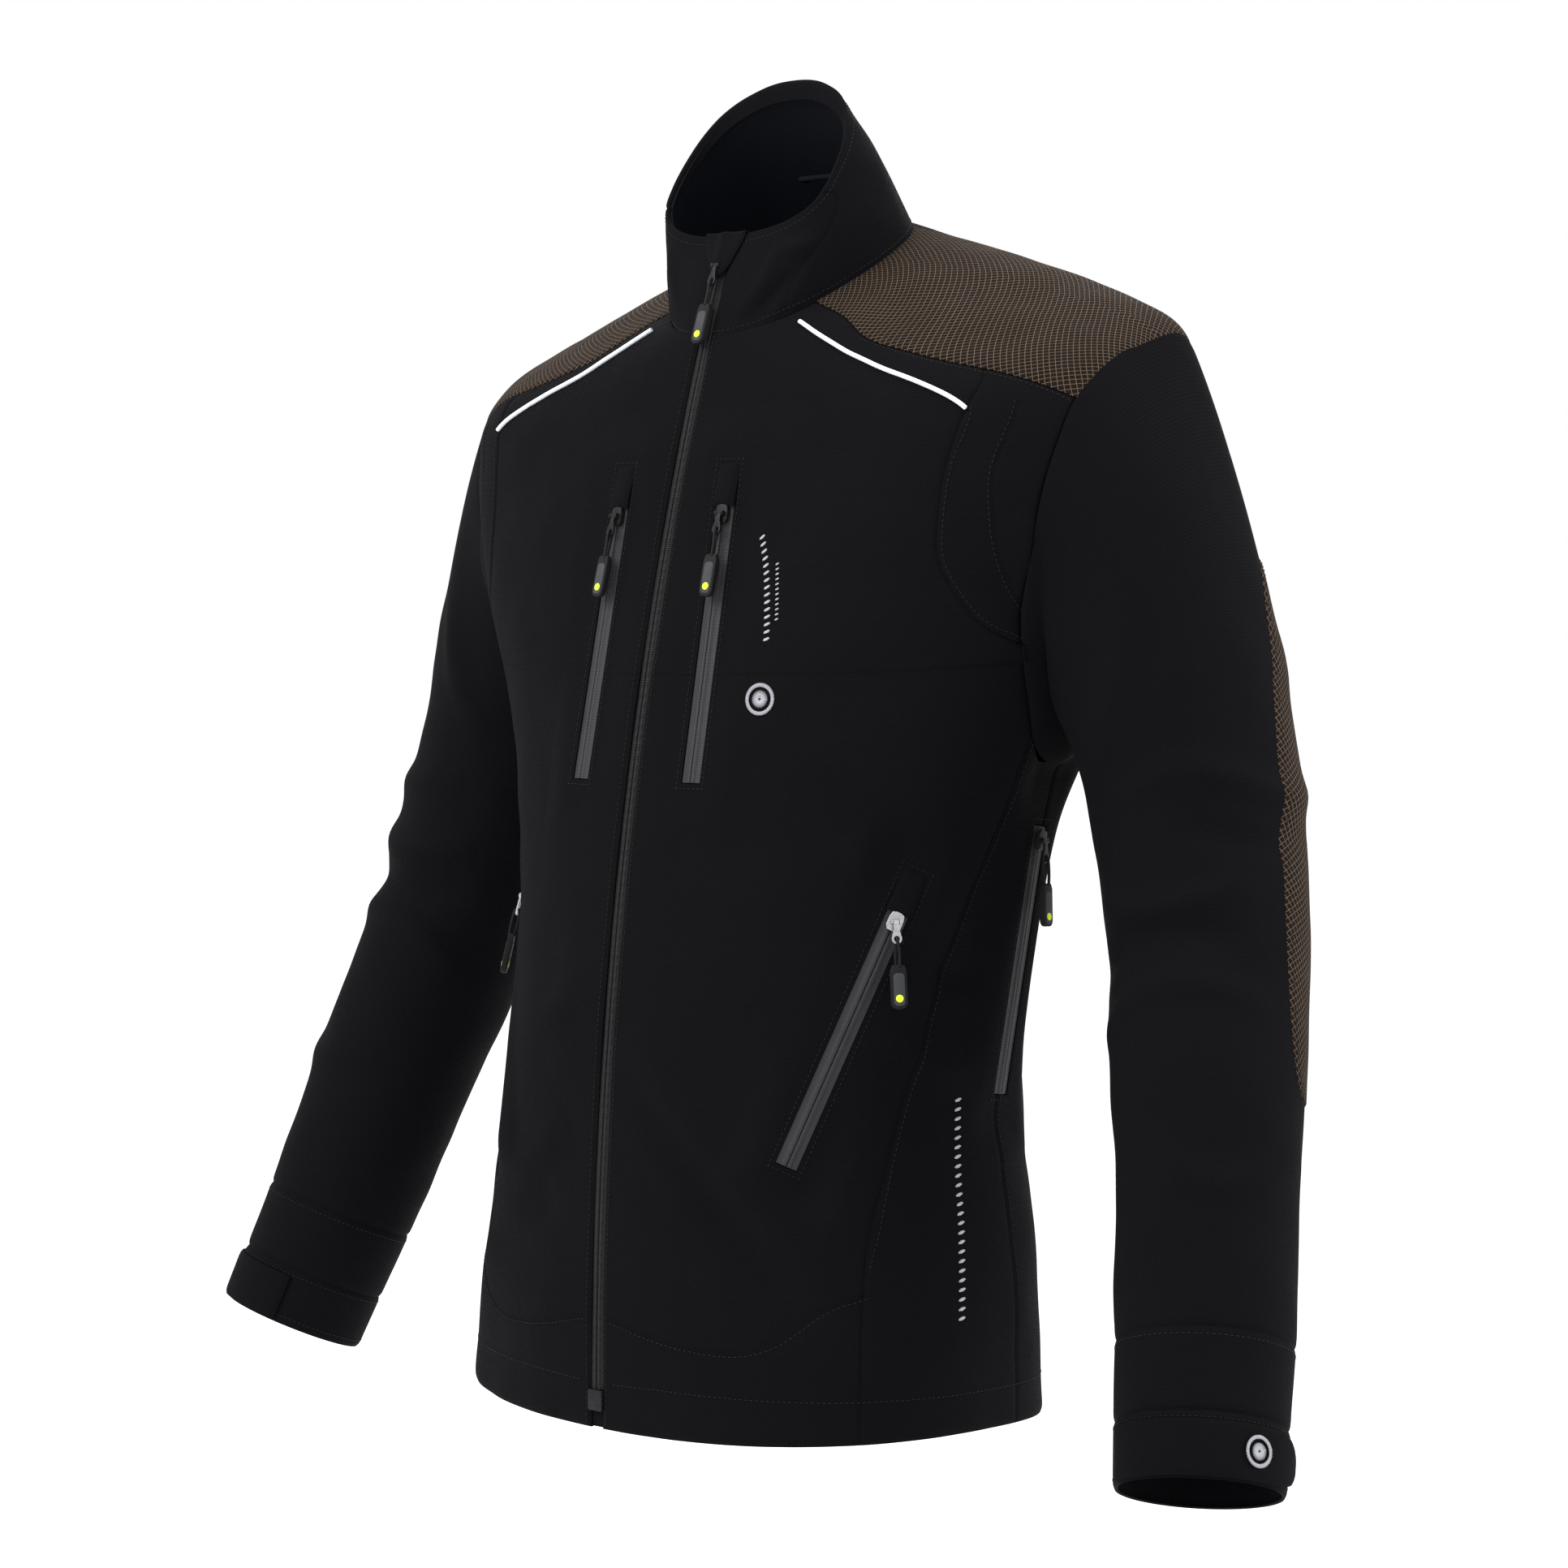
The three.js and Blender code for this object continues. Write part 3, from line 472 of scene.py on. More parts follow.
# Two matching grids, outer and inner, closed round the edge; rows run along the first index.
def sheetFaces(rows, columns, isRing):
    index = np.arange(rows * columns).reshape(rows, columns)
    right = np.roll(index, -1, axis=1)
    span = columns if isRing else columns - 1
    a, b = index[:-1, :span], right[:-1, :span]
    c, d = right[1:, :span], index[1:, :span]
    outer = np.stack([a, b, c, d], -1).reshape(-1, 4)
    far = rows * columns
    inner = outer[:, ::-1] + far
    low = np.stack([right[0, :span], index[0, :span], index[0, :span] + far, right[0, :span] + far], -1)
    high = np.stack([index[-1, :span], right[-1, :span], right[-1, :span] + far,
                     index[-1, :span] + far], -1)
    faces = [outer, inner, low, high]
    if not isRing:
        first, last = index[:, 0], index[:, -1]
        faces.append(np.stack([first[:-1], first[1:], first[1:] + far, first[:-1] + far], -1))
        faces.append(np.stack([last[1:], last[:-1], last[:-1] + far, last[1:] + far], -1))
    return np.concatenate(faces)


def gridNormals(grid, isRing=False):
    if isRing:
        wide = np.concatenate([grid[:, -1:], grid, grid[:, :1]], 1)
        alongU = wide[:, 2:] - wide[:, :-2]
    else:
        alongU = np.gradient(grid, axis=1)
    normal = np.cross(alongU, np.gradient(grid, axis=0))
    return normal / np.maximum(np.linalg.norm(normal, axis=-1, keepdims=True), 1e-12)


# A sheet of cloth from its outer grid. The inner face lies `thickness` behind it.
def makeSheet(name, grid, material, slotName, thickness=None, isRing=False, uvs=None):
    thickness = thickness or cloth["thickness"]
    inner = grid - gridNormals(grid, isRing) * thickness
    rows, columns = grid.shape[:2]
    faces = sheetFaces(rows, columns, isRing)
    if uvs is None:
        uvs = lengthUvs(grid)
    points = np.concatenate([grid.reshape(-1, 3), inner.reshape(-1, 3)])
    mesh = meshOf(name, points, faces.tolist(), np.concatenate([uvs.reshape(-1, 2)] * 2))
    return dressed(name, mesh, material, slotName, 50)


def lengthUvs(grid):
    across = np.linalg.norm(np.diff(grid, axis=1), axis=2).mean(0)
    along = np.linalg.norm(np.diff(grid, axis=0), axis=2).mean(1)
    u = np.concatenate([[0], np.cumsum(across)])
    v = np.concatenate([[0], np.cumsum(along)])
    return np.stack(np.meshgrid(u, v), -1)


def joinInto(name, pieces):
    bpy.ops.object.select_all(action="DESELECT")
    for piece in pieces:
        piece.select_set(True)
    bpy.context.view_layer.objects.active = pieces[0]
    bpy.ops.object.join()
    pieces[0].name = name
    return pieces[0]


def unitRows(rows):
    return rows / np.maximum(np.linalg.norm(rows, axis=-1, keepdims=True), 1e-12)


# ---- smooth noise for the cloth's own unevenness -----------------------------------------------

noiseTable = np.random.default_rng(7).normal(size=(256, 3))
noiseTable /= np.linalg.norm(noiseTable, axis=1, keepdims=True)
noiseOrder = np.random.default_rng(8).permutation(256)


def cloudNoise(points, size):
    p = np.asarray(points, float) / size + 100
    cell = np.floor(p).astype(int)
    f = p - cell
    blend = f * f * f * (f * (f * 6 - 15) + 10)
    total = 0
    for corner in np.ndindex(2, 2, 2):
        x, y, z = (cell[..., k] + corner[k] for k in range(3))
        turned = noiseOrder[(noiseOrder[(noiseOrder[x & 255] + y) & 255] + z) & 255]
        weight = 1
        for k in range(3):
            weight = weight * (blend[..., k] if corner[k] else 1 - blend[..., k])
        total = total + weight * ((f - np.array(corner)) * noiseTable[turned]).sum(-1)
    return total


def smoothStep(low, high, value):
    t = np.clip((value - low) / (high - low), 0, 1)
    return t * t * (3 - 2 * t)


def routeDistance(points, route):
    flat = points.reshape(-1, 3)
    best = np.full(len(flat), 1.0)
    share = np.zeros(len(flat))
    lengths = np.linalg.norm(np.diff(route, axis=0), axis=1)
    along = np.concatenate([[0], np.cumsum(lengths)])
    for i, (a, b) in enumerate(zip(route[:-1], route[1:])):
        d = b - a
        t = np.clip(((flat - a) @ d) / max(d @ d, 1e-12), 0, 1)
        away = np.linalg.norm(flat - a - t[:, None] * d, axis=1)
        nearer = away < best
        best = np.where(nearer, away, best)
        share = np.where(nearer, (along[i] + t * lengths[i]) / along[-1], share)
    return best.reshape(points.shape[:-1]), share.reshape(points.shape[:-1])


# ---- the jacket's surfaces, as in the solid model ----------------------------------------------

def circleThrough(a, b, c):
    a, b, c = (np.array(p, float) for p in (a, b, c))
    ab, ac = b - a, c - a
    cross = 2 * (ab[0] * ac[1] - ab[1] * ac[0])
    centre = a + np.array([ac[1] * (ab @ ab) - ab[1] * (ac @ ac),
                           ab[0] * (ac @ ac) - ac[0] * (ab @ ab)]) / cross
    return centre[0], centre[1], np.linalg.norm(centre - a)


arcY, arcZ, arcRadius = circleThrough((-0.32 * jacket["frontDepth"], 0.03),
                                      (-0.81 * jacket["frontDepth"], -0.424 * jacket["length"]),
                                      (-jacket["frontDepth"], -jacket["length"]))


def frontY(z):
    return arcY - np.sqrt(arcRadius ** 2 - (np.asarray(z) - arcZ) ** 2)


def bodyStations():
    tall, hem, waist, chest = (jacket[key] for key in ("length", "hemHalf", "waistHalf", "chestHalf"))
    shoulder, back = jacket["shoulderHalf"], jacket["backDepth"]
    # level, half width, back y, middle y, front z, back z, lift of the sides, squareness
    rows = [
        (0.00, hem, back, -0.020, -tall, -1.008 * tall, 0.008, 2.35),
        (0.12, 0.96 * hem, back + 0.002, -0.015, -0.858 * tall, -0.858 * tall, 0, 2.3),
        (0.30, waist, back, -0.008, -0.677 * tall, -0.677 * tall, 0, 2.25),
        (0.45, waist + 0.005, back + 0.003, 0, -0.528 * tall, -0.528 * tall, 0, 2.2),
        (0.58, chest, back + 0.020, 0.030, -0.386 * tall, -0.370 * tall, 0, 2.2),
        (0.68, chest + 0.032, back + 0.029, 0.036, -0.283 * tall, -0.236 * tall, 0, 2.3),
        (0.80, shoulder, back + 0.030, 0.040, -0.173 * tall, -0.094 * tall, 0.004, 2.4),
        (0.87, shoulder - 0.012, back + 0.023, 0.040, -0.072, -0.008, 0.006, 2.4),
        (0.94, 0.6 * shoulder, back + 0.002, 0.028, -0.042, 0.032, 0.002, 2.2),
        (1.00, jacket["neckHalf"], back - 0.020, 0.010, -0.023, 0.055, 0.004, 2.0),
    ]
    return np.array([(v, half, frontY(zF), yB, yM, zF, zB, lift, square)
                     for v, half, yB, yM, zF, zB, lift, square in rows], float)


def readStations(rows, at):
    at = np.asarray(at, float)
    places, values = rows[:, 0], rows[:, 1:]
    low, high = np.maximum(np.arange(len(rows)) - 1, 0), np.minimum(np.arange(len(rows)) + 1, len(rows) - 1)
    slopes = (values[high] - values[low]) / (places[high] - places[low])[:, None]
    i = np.clip(np.searchsorted(places, at) - 1, 0, len(rows) - 2)
    step = (places[i + 1] - places[i])[..., None]
    t = np.clip((at - places[i])[..., None] / step, 0, 1)
    return ((2 * t ** 3 - 3 * t ** 2 + 1) * values[i] + (t ** 3 - 2 * t ** 2 + t) * slopes[i] * step
            + (3 * t ** 2 - 2 * t ** 3) * values[i + 1] + (t ** 3 - t ** 2) * slopes[i + 1] * step)


def ringPoint(phi, ring):
    half, yFront, yBack, yMiddle, zFront, zBack, lift, square = np.moveaxis(ring, -1, 0)
    s, c = np.sin(phi), np.cos(phi)
    power = 2 / square
    depth = np.where(c > 0, yFront - yMiddle, yMiddle - yBack)
    x = half * np.sign(s) * np.abs(s) ** power
    y = yMiddle + depth * np.sign(c) * np.abs(c) ** power
    z = zFront + (zBack - zFront) * (y - yFront) / (yBack - yFront) + lift * s * s
    return np.stack([x, y, z], -1)


stations = bodyStations()
neckRing = readStations(stations, 1.0)
collarRimZ = neckRing[4] + jacket["collarFront"]
collarRim = np.array([jacket["neckHalf"] - 0.005, frontY(collarRimZ), 0.008, -0.030, collarRimZ,
                      neckRing[5] + jacket["collarBack"], 0, 2.3])


def bodyBase(phi, v):
    return ringPoint(phi, readStations(stations, v))


def collarBase(phi, w):
    w = np.asarray(w, float)[..., None]
    ring = neckRing + (collarRim - neckRing) * w
    ring[..., 0] += 0.004 * np.sin(math.pi * w[..., 0])
    ring[..., 1] = frontY(ring[..., 4])
    return ringPoint(phi, ring)


def normalOf(surface, u, v, step=0.004):
    alongU = surface(u + step, v) - surface(u - step, v)
    alongV = surface(u, np.minimum(v + step, 1)) - surface(u, np.maximum(v - step, 0))
    normal = np.cross(alongU, alongV)
    return normal / np.maximum(np.linalg.norm(normal, axis=-1, keepdims=True), 1e-12)


pitZ, tipZ = -0.386 * jacket["length"], -0.030


def armholeX(z):
    return jacket["armholeHalf"] + jacket["armholeLean"] / (tipZ - pitZ) * (z - pitZ)


# The angle where a level of the body crosses the armhole's plane, at its front or its back.
def armholePhi(v, inner, outer=90 * turn):
    inner, outer = np.full(np.shape(v), inner), np.full(np.shape(v), outer)
    for _ in range(32):
        middle = (inner + outer) / 2
        p = bodyBase(middle, v)
        outside = p[..., 0] > armholeX(p[..., 2])
        outer, inner = np.where(outside, middle, outer), np.where(outside, inner, middle)
    return inner


def armholeLevels():
    v = np.linspace(0.5, 0.99, 1961)
    p = bodyBase(np.full(v.shape, 90 * turn), v)
    inside = v[p[:, 0] > armholeX(p[:, 2])]
    return inside[0], inside[-1]


pitLevel, tipLevel = armholeLevels()


def armholeTable():
    v = np.linspace(pitLevel, tipLevel, 400)
    ring = np.concatenate([bodyBase(armholePhi(v, 5 * turn), v), bodyBase(armholePhi(v, 175 * turn), v)])
    low, high = ring.min(0), ring.max(0)
    middle = (low + high) / 2
    dy, dz = ring[:, 1] - middle[1], ring[:, 2] - middle[2]
    angle = np.arctan2(-dy, dz)
    order = np.argsort(angle)
    return middle, angle[order], np.hypot(dy, dz)[order]


armholeMiddle, armholeTurns, armholeRadii = armholeTable()


def armholePoint(psi):
    radius = np.interp(psi, armholeTurns, armholeRadii, period=2 * math.pi)
    y = armholeMiddle[1] - radius * np.sin(psi)
    z = armholeMiddle[2] + radius * np.cos(psi)
    return np.stack([armholeX(z), y, z], -1)


def sleeveStations():
    top, cuff = armholeX(-0.135), jacket["cuffRadius"]

    def drop(share):
        return tipZ - 0.1 - share * jacket["sleeveDrop"]

    def reach(share):
        return top + 0.003 + share * (jacket["cuffReach"] - top - 0.003)

    # share of the sleeve, centre x y z, outward radius, fore-and-aft radius
    return np.array([
        (0.00, reach(0.00), 0.038, drop(0.00), 0.096, 0.062),
        (0.18, reach(0.22), 0.038, drop(0.17), 0.066, 0.062),
        (0.35, reach(0.39), 0.033, drop(0.31), 0.059, 0.057),
        (0.50, reach(0.54), 0.018, drop(0.46), cuff + 0.009, cuff + 0.009),
        (0.65, reach(0.68), -0.008, drop(0.62), cuff + 0.006, cuff + 0.006),
        (0.82, reach(0.84), -0.040, drop(0.81), cuff + 0.002, cuff + 0.003),
        (1.00, jacket["cuffReach"], -0.074, drop(1.00), cuff - 0.001, cuff),
    ])


sleeveRows = sleeveStations()


def sleeveBase(psi, s):
    s = np.clip(np.asarray(s, float), 0, 1)
    x, y, z, out, fore = np.moveaxis(readStations(sleeveRows, s), -1, 0)
    ahead = readStations(sleeveRows, np.minimum(s + 0.01, 1))[..., :3]
    along = ahead - readStations(sleeveRows, np.maximum(s - 0.01, 0))[..., :3]
    along /= np.linalg.norm(along, axis=-1, keepdims=True)
    foreAxis = np.array([0, -1.0, 0]) + along * along[..., 1:2]
    foreAxis /= np.linalg.norm(foreAxis, axis=-1, keepdims=True)
    outAxis = np.cross(along, foreAxis)
    outAxis *= np.sign(outAxis[..., :1])
    tube = (np.stack([x, y, z], -1) + outAxis * (out * np.cos(psi))[..., None]
            + foreAxis * (fore * np.sin(psi))[..., None])
    t = np.minimum(s / 0.22, 1)[..., None]
    ring = armholePoint(psi)
    p = ring + (tube - ring) * t * t * (3 - 2 * t)
    p[..., 0] = np.maximum(p[..., 0], armholeX(p[..., 2]) + 0.0004 + 0.09 * np.minimum(s, 0.1))
    return p


# ---- frames of the zips, read back from the joints -------------------------------------------

zipSizes = dict(inset=0.0075, pin=0.0048, reach=0.0095, window=0.0066, tape=0.0124)
# facing angle, and which metal
zipKinds = dict(chest=(5, "black"), hand=(50, "silver"), vent=(97, "black"))


def basis(x, y, z, origin):
    made = np.eye(4)
    made[:3, 0], made[:3, 1], made[:3, 2], made[:3, 3] = x, y, z, origin
    return made


def unit(vector):
    vector = np.asarray(vector, float)
    return vector / np.linalg.norm(vector)


def hangingFrame(prefix, upward=None):
    swing = joints[f"{prefix}_pull_swing"]
    out, eye = unit(swing["axis"]), np.array(swing["pos_m"], float)
    flip = joints.get(f"{prefix}_puller_flip")
    if flip:
        up = unit(np.array(flip["pos_m"]) - eye)
        return basis(np.cross(up, out), up, out, flip["pos_m"])
    across = unit(np.cross(upward, out))
    up = np.cross(out, across)
    return basis(across, up, out, eye + up * zipSizes["reach"])


def sideZips():
    made = []
    for side, sign in (("left", 1), ("right", -1)):
        for kind, (facing, metal) in zipKinds.items():
            run = joints[f"{side}_{kind}_zip_run"]
            up = -unit(run["axis"])
            angle = sign * facing * turn
            out = np.array([math.sin(angle), -math.cos(angle), 0])
            out = unit(out - up * (out @ up))
            hanging = hangingFrame(f"{side}_{kind}", up)
            top = hanging[:3, 3] + up * zipSizes["inset"] - out * zipSizes["pin"]
            made.append(dict(prefix=f"{side}_{kind}", kind=kind, side=side, sign=sign, metal=metal,
                             frame=basis(np.cross(up, out), up, out, top), hanging=hanging,
                             length=run["range_m"][1] + 0.0005 + 2 * zipSizes["inset"]))
    return made


zips = sideZips()


def localTo(matrix, points):
    return (points - matrix[:3, 3]) @ matrix[:3, :3]


def intoWorld(matrix, points):
    return np.asarray(points, float) @ matrix[:3, :3].T + matrix[:3, 3]


# ---- the cloth's relief: unevenness, folds, and flat places round the zips -----------------------

def smoothRoute(route, count=60):
    route = np.asarray(route, float)
    if len(route) < 3:
        t = np.linspace(0, 1, count)[:, None]
        return route[0] * (1 - t) + route[-1] * t
    padded = np.concatenate([2 * route[:1] - route[1:2], route, 2 * route[-1:] - route[-2:-1]])
    t = np.linspace(0, len(route) - 1 - 1e-9, count)
    i = t.astype(int)
    f = (t - i)[:, None]
    a, b, c, d = padded[i], padded[i + 1], padded[i + 2], padded[i + 3]
    return 0.5 * (2 * b + (c - a) * f + (2 * a - 5 * b + 4 * c - d) * f ** 2 + (3 * b - a - 3 * c + d) * f ** 3)


# side, phi and level along the fold, height and width in millimetres
bodyFolds = [
    (1, [(3, 0.33), (16, 0.27), (32, 0.19), (50, 0.11)], 4.5, 13),
    (1, [(4, 0.29), (18, 0.22), (34, 0.14), (46, 0.09)], -3.0, 11),
    (1, [(40, 0.205), (50, 0.175), (62, 0.165)], 3.5, 9),
    (1, [(56, 0.75), (66, 0.70), (76, 0.65)], 3.2, 9),
    (1, [(52, 0.70), (62, 0.67), (72, 0.635)], -2.4, 9),
    (1, [(46, 0.50), (56, 0.47), (66, 0.455)], 2.6, 8),
    (1, [(14, 0.50), (26, 0.46), (44, 0.44)], 2.2, 16),
    (1, [(66, 0.34), (76, 0.30), (88, 0.29)], 3.0, 10),
    (1, [(70, 0.42), (80, 0.38), (92, 0.385)], -2.5, 9),
    (-1, [(5, 0.36), (20, 0.33), (38, 0.34)], 3.0, 12),
    (-1, [(8, 0.24), (22, 0.20), (40, 0.21)], 3.4, 13),
    (-1, [(10, 0.17), (26, 0.13), (44, 0.12)], -2.8, 12),
    (-1, [(54, 0.74), (64, 0.69), (76, 0.64)], 3.2, 10),
    (-1, [(66, 0.34), (78, 0.30), (90, 0.30)], 3.0, 10),
    (1, [(112, 0.36), (140, 0.33), (165, 0.35)], 4.0, 13),
    (-1, [(112, 0.31), (138, 0.28), (168, 0.30)], 4.0, 14),
    (1, [(120, 0.66), (140, 0.60), (158, 0.52)], 3.4, 14),
    (-1, [(118, 0.67), (138, 0.61), (158, 0.54)], 3.4, 14),
    (1, [(115, 0.22), (145, 0.19), (178, 0.21)], -3.0, 12),
]
# side, psi and share along the fold, height and width in millimetres
sleeveFolds = [
    (1, [(-60, 0.34), (0, 0.37), (60, 0.335), (100, 0.36)], 3.6, 9),
    (1, [(-40, 0.40), (20, 0.42), (70, 0.395)], -3.0, 9),
    (1, [(20, 0.46), (80, 0.48), (130, 0.45)], 4.4, 9),
    (1, [(30, 0.52), (90, 0.505), (150, 0.53)], -3.4, 8),
    (1, [(10, 0.58), (80, 0.56), (140, 0.60)], 3.8, 9),
    (1, [(-30, 0.70), (40, 0.74), (100, 0.71)], 3.0, 10),
    (1, [(40, 0.12), (80, 0.20), (110, 0.30)], 3.8, 10),
    (1, [(70, 0.08), (100, 0.17), (125, 0.26)], -3.0, 9),
    (1, [(-50, 0.12), (-90, 0.20), (-120, 0.28)], 3.6, 11),
    (-1, [(10, 0.44), (70, 0.47), (130, 0.44)], 4.4, 9),
    (-1, [(0, 0.50), (80, 0.515), (140, 0.49)], -3.4, 9),
    (-1, [(20, 0.56), (90, 0.545), (150, 0.58)], 4.2, 9),
    (-1, [(-20, 0.36), (50, 0.39), (110, 0.36)], 3.2, 10),
    (-1, [(-20, 0.68), (60, 0.72), (120, 0.69)], 3.0, 10),
    (-1, [(40, 0.10), (80, 0.18), (115, 0.28)], 3.8, 10),
    (-1, [(-50, 0.12), (-90, 0.20), (-120, 0.28)], 3.6, 11),
]


def foldRoutes(folds, surface):
    made = []
    for side, route, height, width in folds:
        path = smoothRoute(np.array(route), 24)
        points = surface(path[:, 0] * turn, path[:, 1]) * np.array([side, 1, 1])
        made.append((points, height / 1000, width / 1000))
    return made


bodyRoutes = foldRoutes(bodyFolds, bodyBase)
sleeveRoutes = foldRoutes(sleeveFolds, sleeveBase)


def clothRelief(points, routes, calm=1.0):
    lift = cloudNoise(points, 0.085) * 0.0034 * calm + cloudNoise(points, 0.03) * 0.0012 * calm
    for route, height, width in routes:
        low, high = route.min(0) - width * 3, route.max(0) + width * 3
        near = ((points > low) & (points < high)).all(-1)
        if near.any():
            away, share = routeDistance(points[near], route)
            lift[near] += height * np.exp(-(away / width) ** 2) * np.sin(math.pi * share) ** 0.7
    return lift


def flatten(points):
    for zipper in zips:
        frame4, length = zipper["frame"], zipper["length"]
        local = localTo(frame4, points)
        past = np.maximum(np.maximum(local[..., 1] - 0.026, -length - 0.006 - local[..., 1]), 0)
        share = ((1 - smoothStep(0.011, 0.036, np.abs(local[..., 0]))) * (1 - smoothStep(0, 0.03, past))
                 * (np.abs(local[..., 2]) < 0.04))
        points = points + ((0.0006 - local[..., 2]) * share)[..., None] * frame4[:3, 2]
    return points


def bodySurface(phi, v, lift=0.0):
    base, normal = bodyBase(phi, v), normalOf(bodyBase, phi, v)
    calm = smoothStep(0.0, 0.05, np.abs(base[..., 0])) * 0.7 + 0.3
    p = flatten(base + normal * (clothRelief(base, bodyRoutes) * calm)[..., None])
    return p + normal * (np.asarray(lift)[..., None] if np.ndim(lift) else lift)


def sleeveSurface(sign, psi, s, lift=0.0):
    base, normal = sleeveBase(psi, s), normalOf(sleeveBase, psi, s)
    mirror = np.array([sign, 1, 1])
    quiet = smoothStep(0.0, 0.06, s) * (1 - smoothStep(0.84, 0.93, s))
    relief = clothRelief(base * mirror, sleeveRoutes) * quiet
    p = base + normal * (relief + lift)[..., None]
    p[..., 0] = np.maximum(p[..., 0], armholeX(p[..., 2]) + 0.0002)
    return p * mirror


def collarSurface(phi, w, lift=0.0):
    base = collarBase(phi, w)
    step = 0.004
    normal = np.cross(collarBase(phi + step, w) - collarBase(phi - step, w),
                      collarBase(phi, w + step) - collarBase(phi, w - step))
    normal /= np.maximum(np.linalg.norm(normal, axis=-1, keepdims=True), 1e-12)
    calm = smoothStep(0.006, 0.04, np.abs(base[..., 0]))
    relief = (cloudNoise(base, 0.045) * 0.0042 + cloudNoise(base, 0.02) * 0.0010) * calm
    for side, route, height, width in collar["creases"]:
        path = smoothRoute(np.array(route), 20)
        away, share = routeDistance(base, collarBase(side * path[:, 0] * turn, path[:, 1]))
        relief = relief + (height / 1000 * np.exp(-(away * 1000 / width) ** 2)
                           * np.sin(math.pi * share) ** 0.7 * calm)
    return base + normal * (relief + lift)[..., None]


# ---- grids of cloth --------------------------------------------------------------------------

def sharesOf(length, cell=None, edge=True):
    count = max(int(round(length / (cell or cloth["cell"]))), 3)
    t = np.linspace(0, 1, count + 1)
    if edge:
        near = np.array([0.0005, 0.0013]) / length
        t = np.unique(np.concatenate([t, near, 1 - near]))
    return t


# How far each vertex lies from the four sides of its grid, along the grid's own lines.
def edgeDistances(grid):
    across = np.linalg.norm(np.diff(grid, axis=1), axis=2)
    along = np.linalg.norm(np.diff(grid, axis=0), axis=2)
    left = np.concatenate([np.zeros((len(grid), 1)), np.cumsum(across, 1)], 1)
    low = np.concatenate([np.zeros((1, grid.shape[1])), np.cumsum(along, 0)], 0)
    return left, left[:, -1:] - left, low, low[-1:] - low


def rolled(grid, normal, dip=None, sides=(1, 1, 1, 1)):
    drop = 0
    for away, weight in zip(edgeDistances(grid), sides):
        drop = np.maximum(drop, weight * np.exp(-(away / 0.0016) ** 1.4))
    return grid - normal * ((dip or cloth["seamDip"]) * drop)[..., None]


def torsoUvs(grid):
    across = np.linalg.norm(np.diff(grid, axis=1), axis=2)
    u = np.concatenate([np.zeros((len(grid), 1)), np.cumsum(across, 1)], 1)
    return np.stack([u - u.mean(1, keepdims=True), grid[..., 2]], -1)


def place(made, body, *nodes):
    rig.ride(made, body)
    if nodes:
        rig.replaces(made, *nodes)
    return made


# A panel of the body from a phi and a level at every vertex; the right one is the left mirrored.
def bodyPanel(name, sign, phi, v, material, slotName, dip=None, sides=(1, 1, 1, 1), lift=0.0, relief=None):
    if sign < 0:
        phi, v = -phi[:, ::-1], v[:, ::-1]
        sides = (sides[1], sides[0], sides[2], sides[3])
    grid = bodySurface(phi, v, lift)
    normal = gridNormals(grid)
    if relief:
        grid = grid + normal * relief(grid)[..., None]
    grid = rolled(grid, normal, dip, sides)
    return makeSheet(name, grid, material, slotName, uvs=torsoUvs(grid))


def alongRoute(route, v):
    route = np.array(route, float)
    path = smoothRoute(route[np.argsort(route[:, 1])], 200)
    return np.interp(v, path[:, 1], path[:, 0]) * turn


# phi and level of the seams on the wearer's left, from the bottom up
seams = dict(
    princess=[(54.6, -0.03), (57.5, 0.136), (64.7, 0.223), (75, 0.346), (81, 0.444), (82, 0.502),
              (79, 0.563), (80, 0.64)],
    side=[(97, -0.03), (96.5, 0.1), (95.5, 0.22), (96, 0.3), (98, 0.39), (98, 0.5), (94, 0.64)],
    swoop=[(82, 0.62), (66.3, 0.641), (55.2, 0.663), (45.4, 0.708), (42, 0.75), (41, 0.805),
           (43.6, 0.851), (51.8, 0.886)],
    yokeFront=[(76, 0.816), (64, 0.843), (52, 0.886), (46, 0.915), (44.5, 0.947), (52, 0.984), (56, 1.03)],
    yokeBack=[(108, 0.81), (120, 0.85), (130, 0.9), (134, 0.95), (128, 1.03)],
)
slotHalf = 0.0046


def frontEdge(v):
    ring = readStations(stations, v)
    return np.arcsin((slotHalf / ring[..., 0]) ** (ring[..., 7] / 2))


def rowsPanel(left, right, vs, columns):
    low, high = left(vs), right(vs)
    t = sharesOf(0.001 * columns, 0.001)
    phi = low[:, None] + (high - low)[:, None] * t
    return phi, np.repeat(vs[:, None], phi.shape[1], 1)


def levelsBetween(low, high, cell=None):
    t = sharesOf((high - low) * 0.66, cell)
    return low + (high - low) * t


def armFront(v):
    return np.where(v > pitLevel, armholePhi(np.maximum(v, pitLevel + 1e-4), 5 * turn), 90 * turn)


def armBack(v):
    return np.where(v > pitLevel, armholePhi(np.maximum(v, pitLevel + 1e-4), 175 * turn), 90 * turn)


def frontRight(v):
    low = np.minimum(alongRoute(seams["princess"], v), armFront(v))
    swoop = alongRoute(seams["swoop"], v)
    yoke = alongRoute(seams["yokeFront"], v)
    return np.where(v < 0.626, np.minimum(low, 82 * turn), np.where(v < 0.886, swoop, yoke))


def chestRight(v):
    return np.minimum(armFront(v), np.where(v > 0.81, alongRoute(seams["yokeFront"], v), 90 * turn))


def backRight(v):
    side = np.maximum(alongRoute(seams["side"], v), armBack(v) * (v > pitLevel))
    return np.where(v > 0.81, np.maximum(alongRoute(seams["yokeBack"], v), armBack(v) * (v < tipLevel)), side)


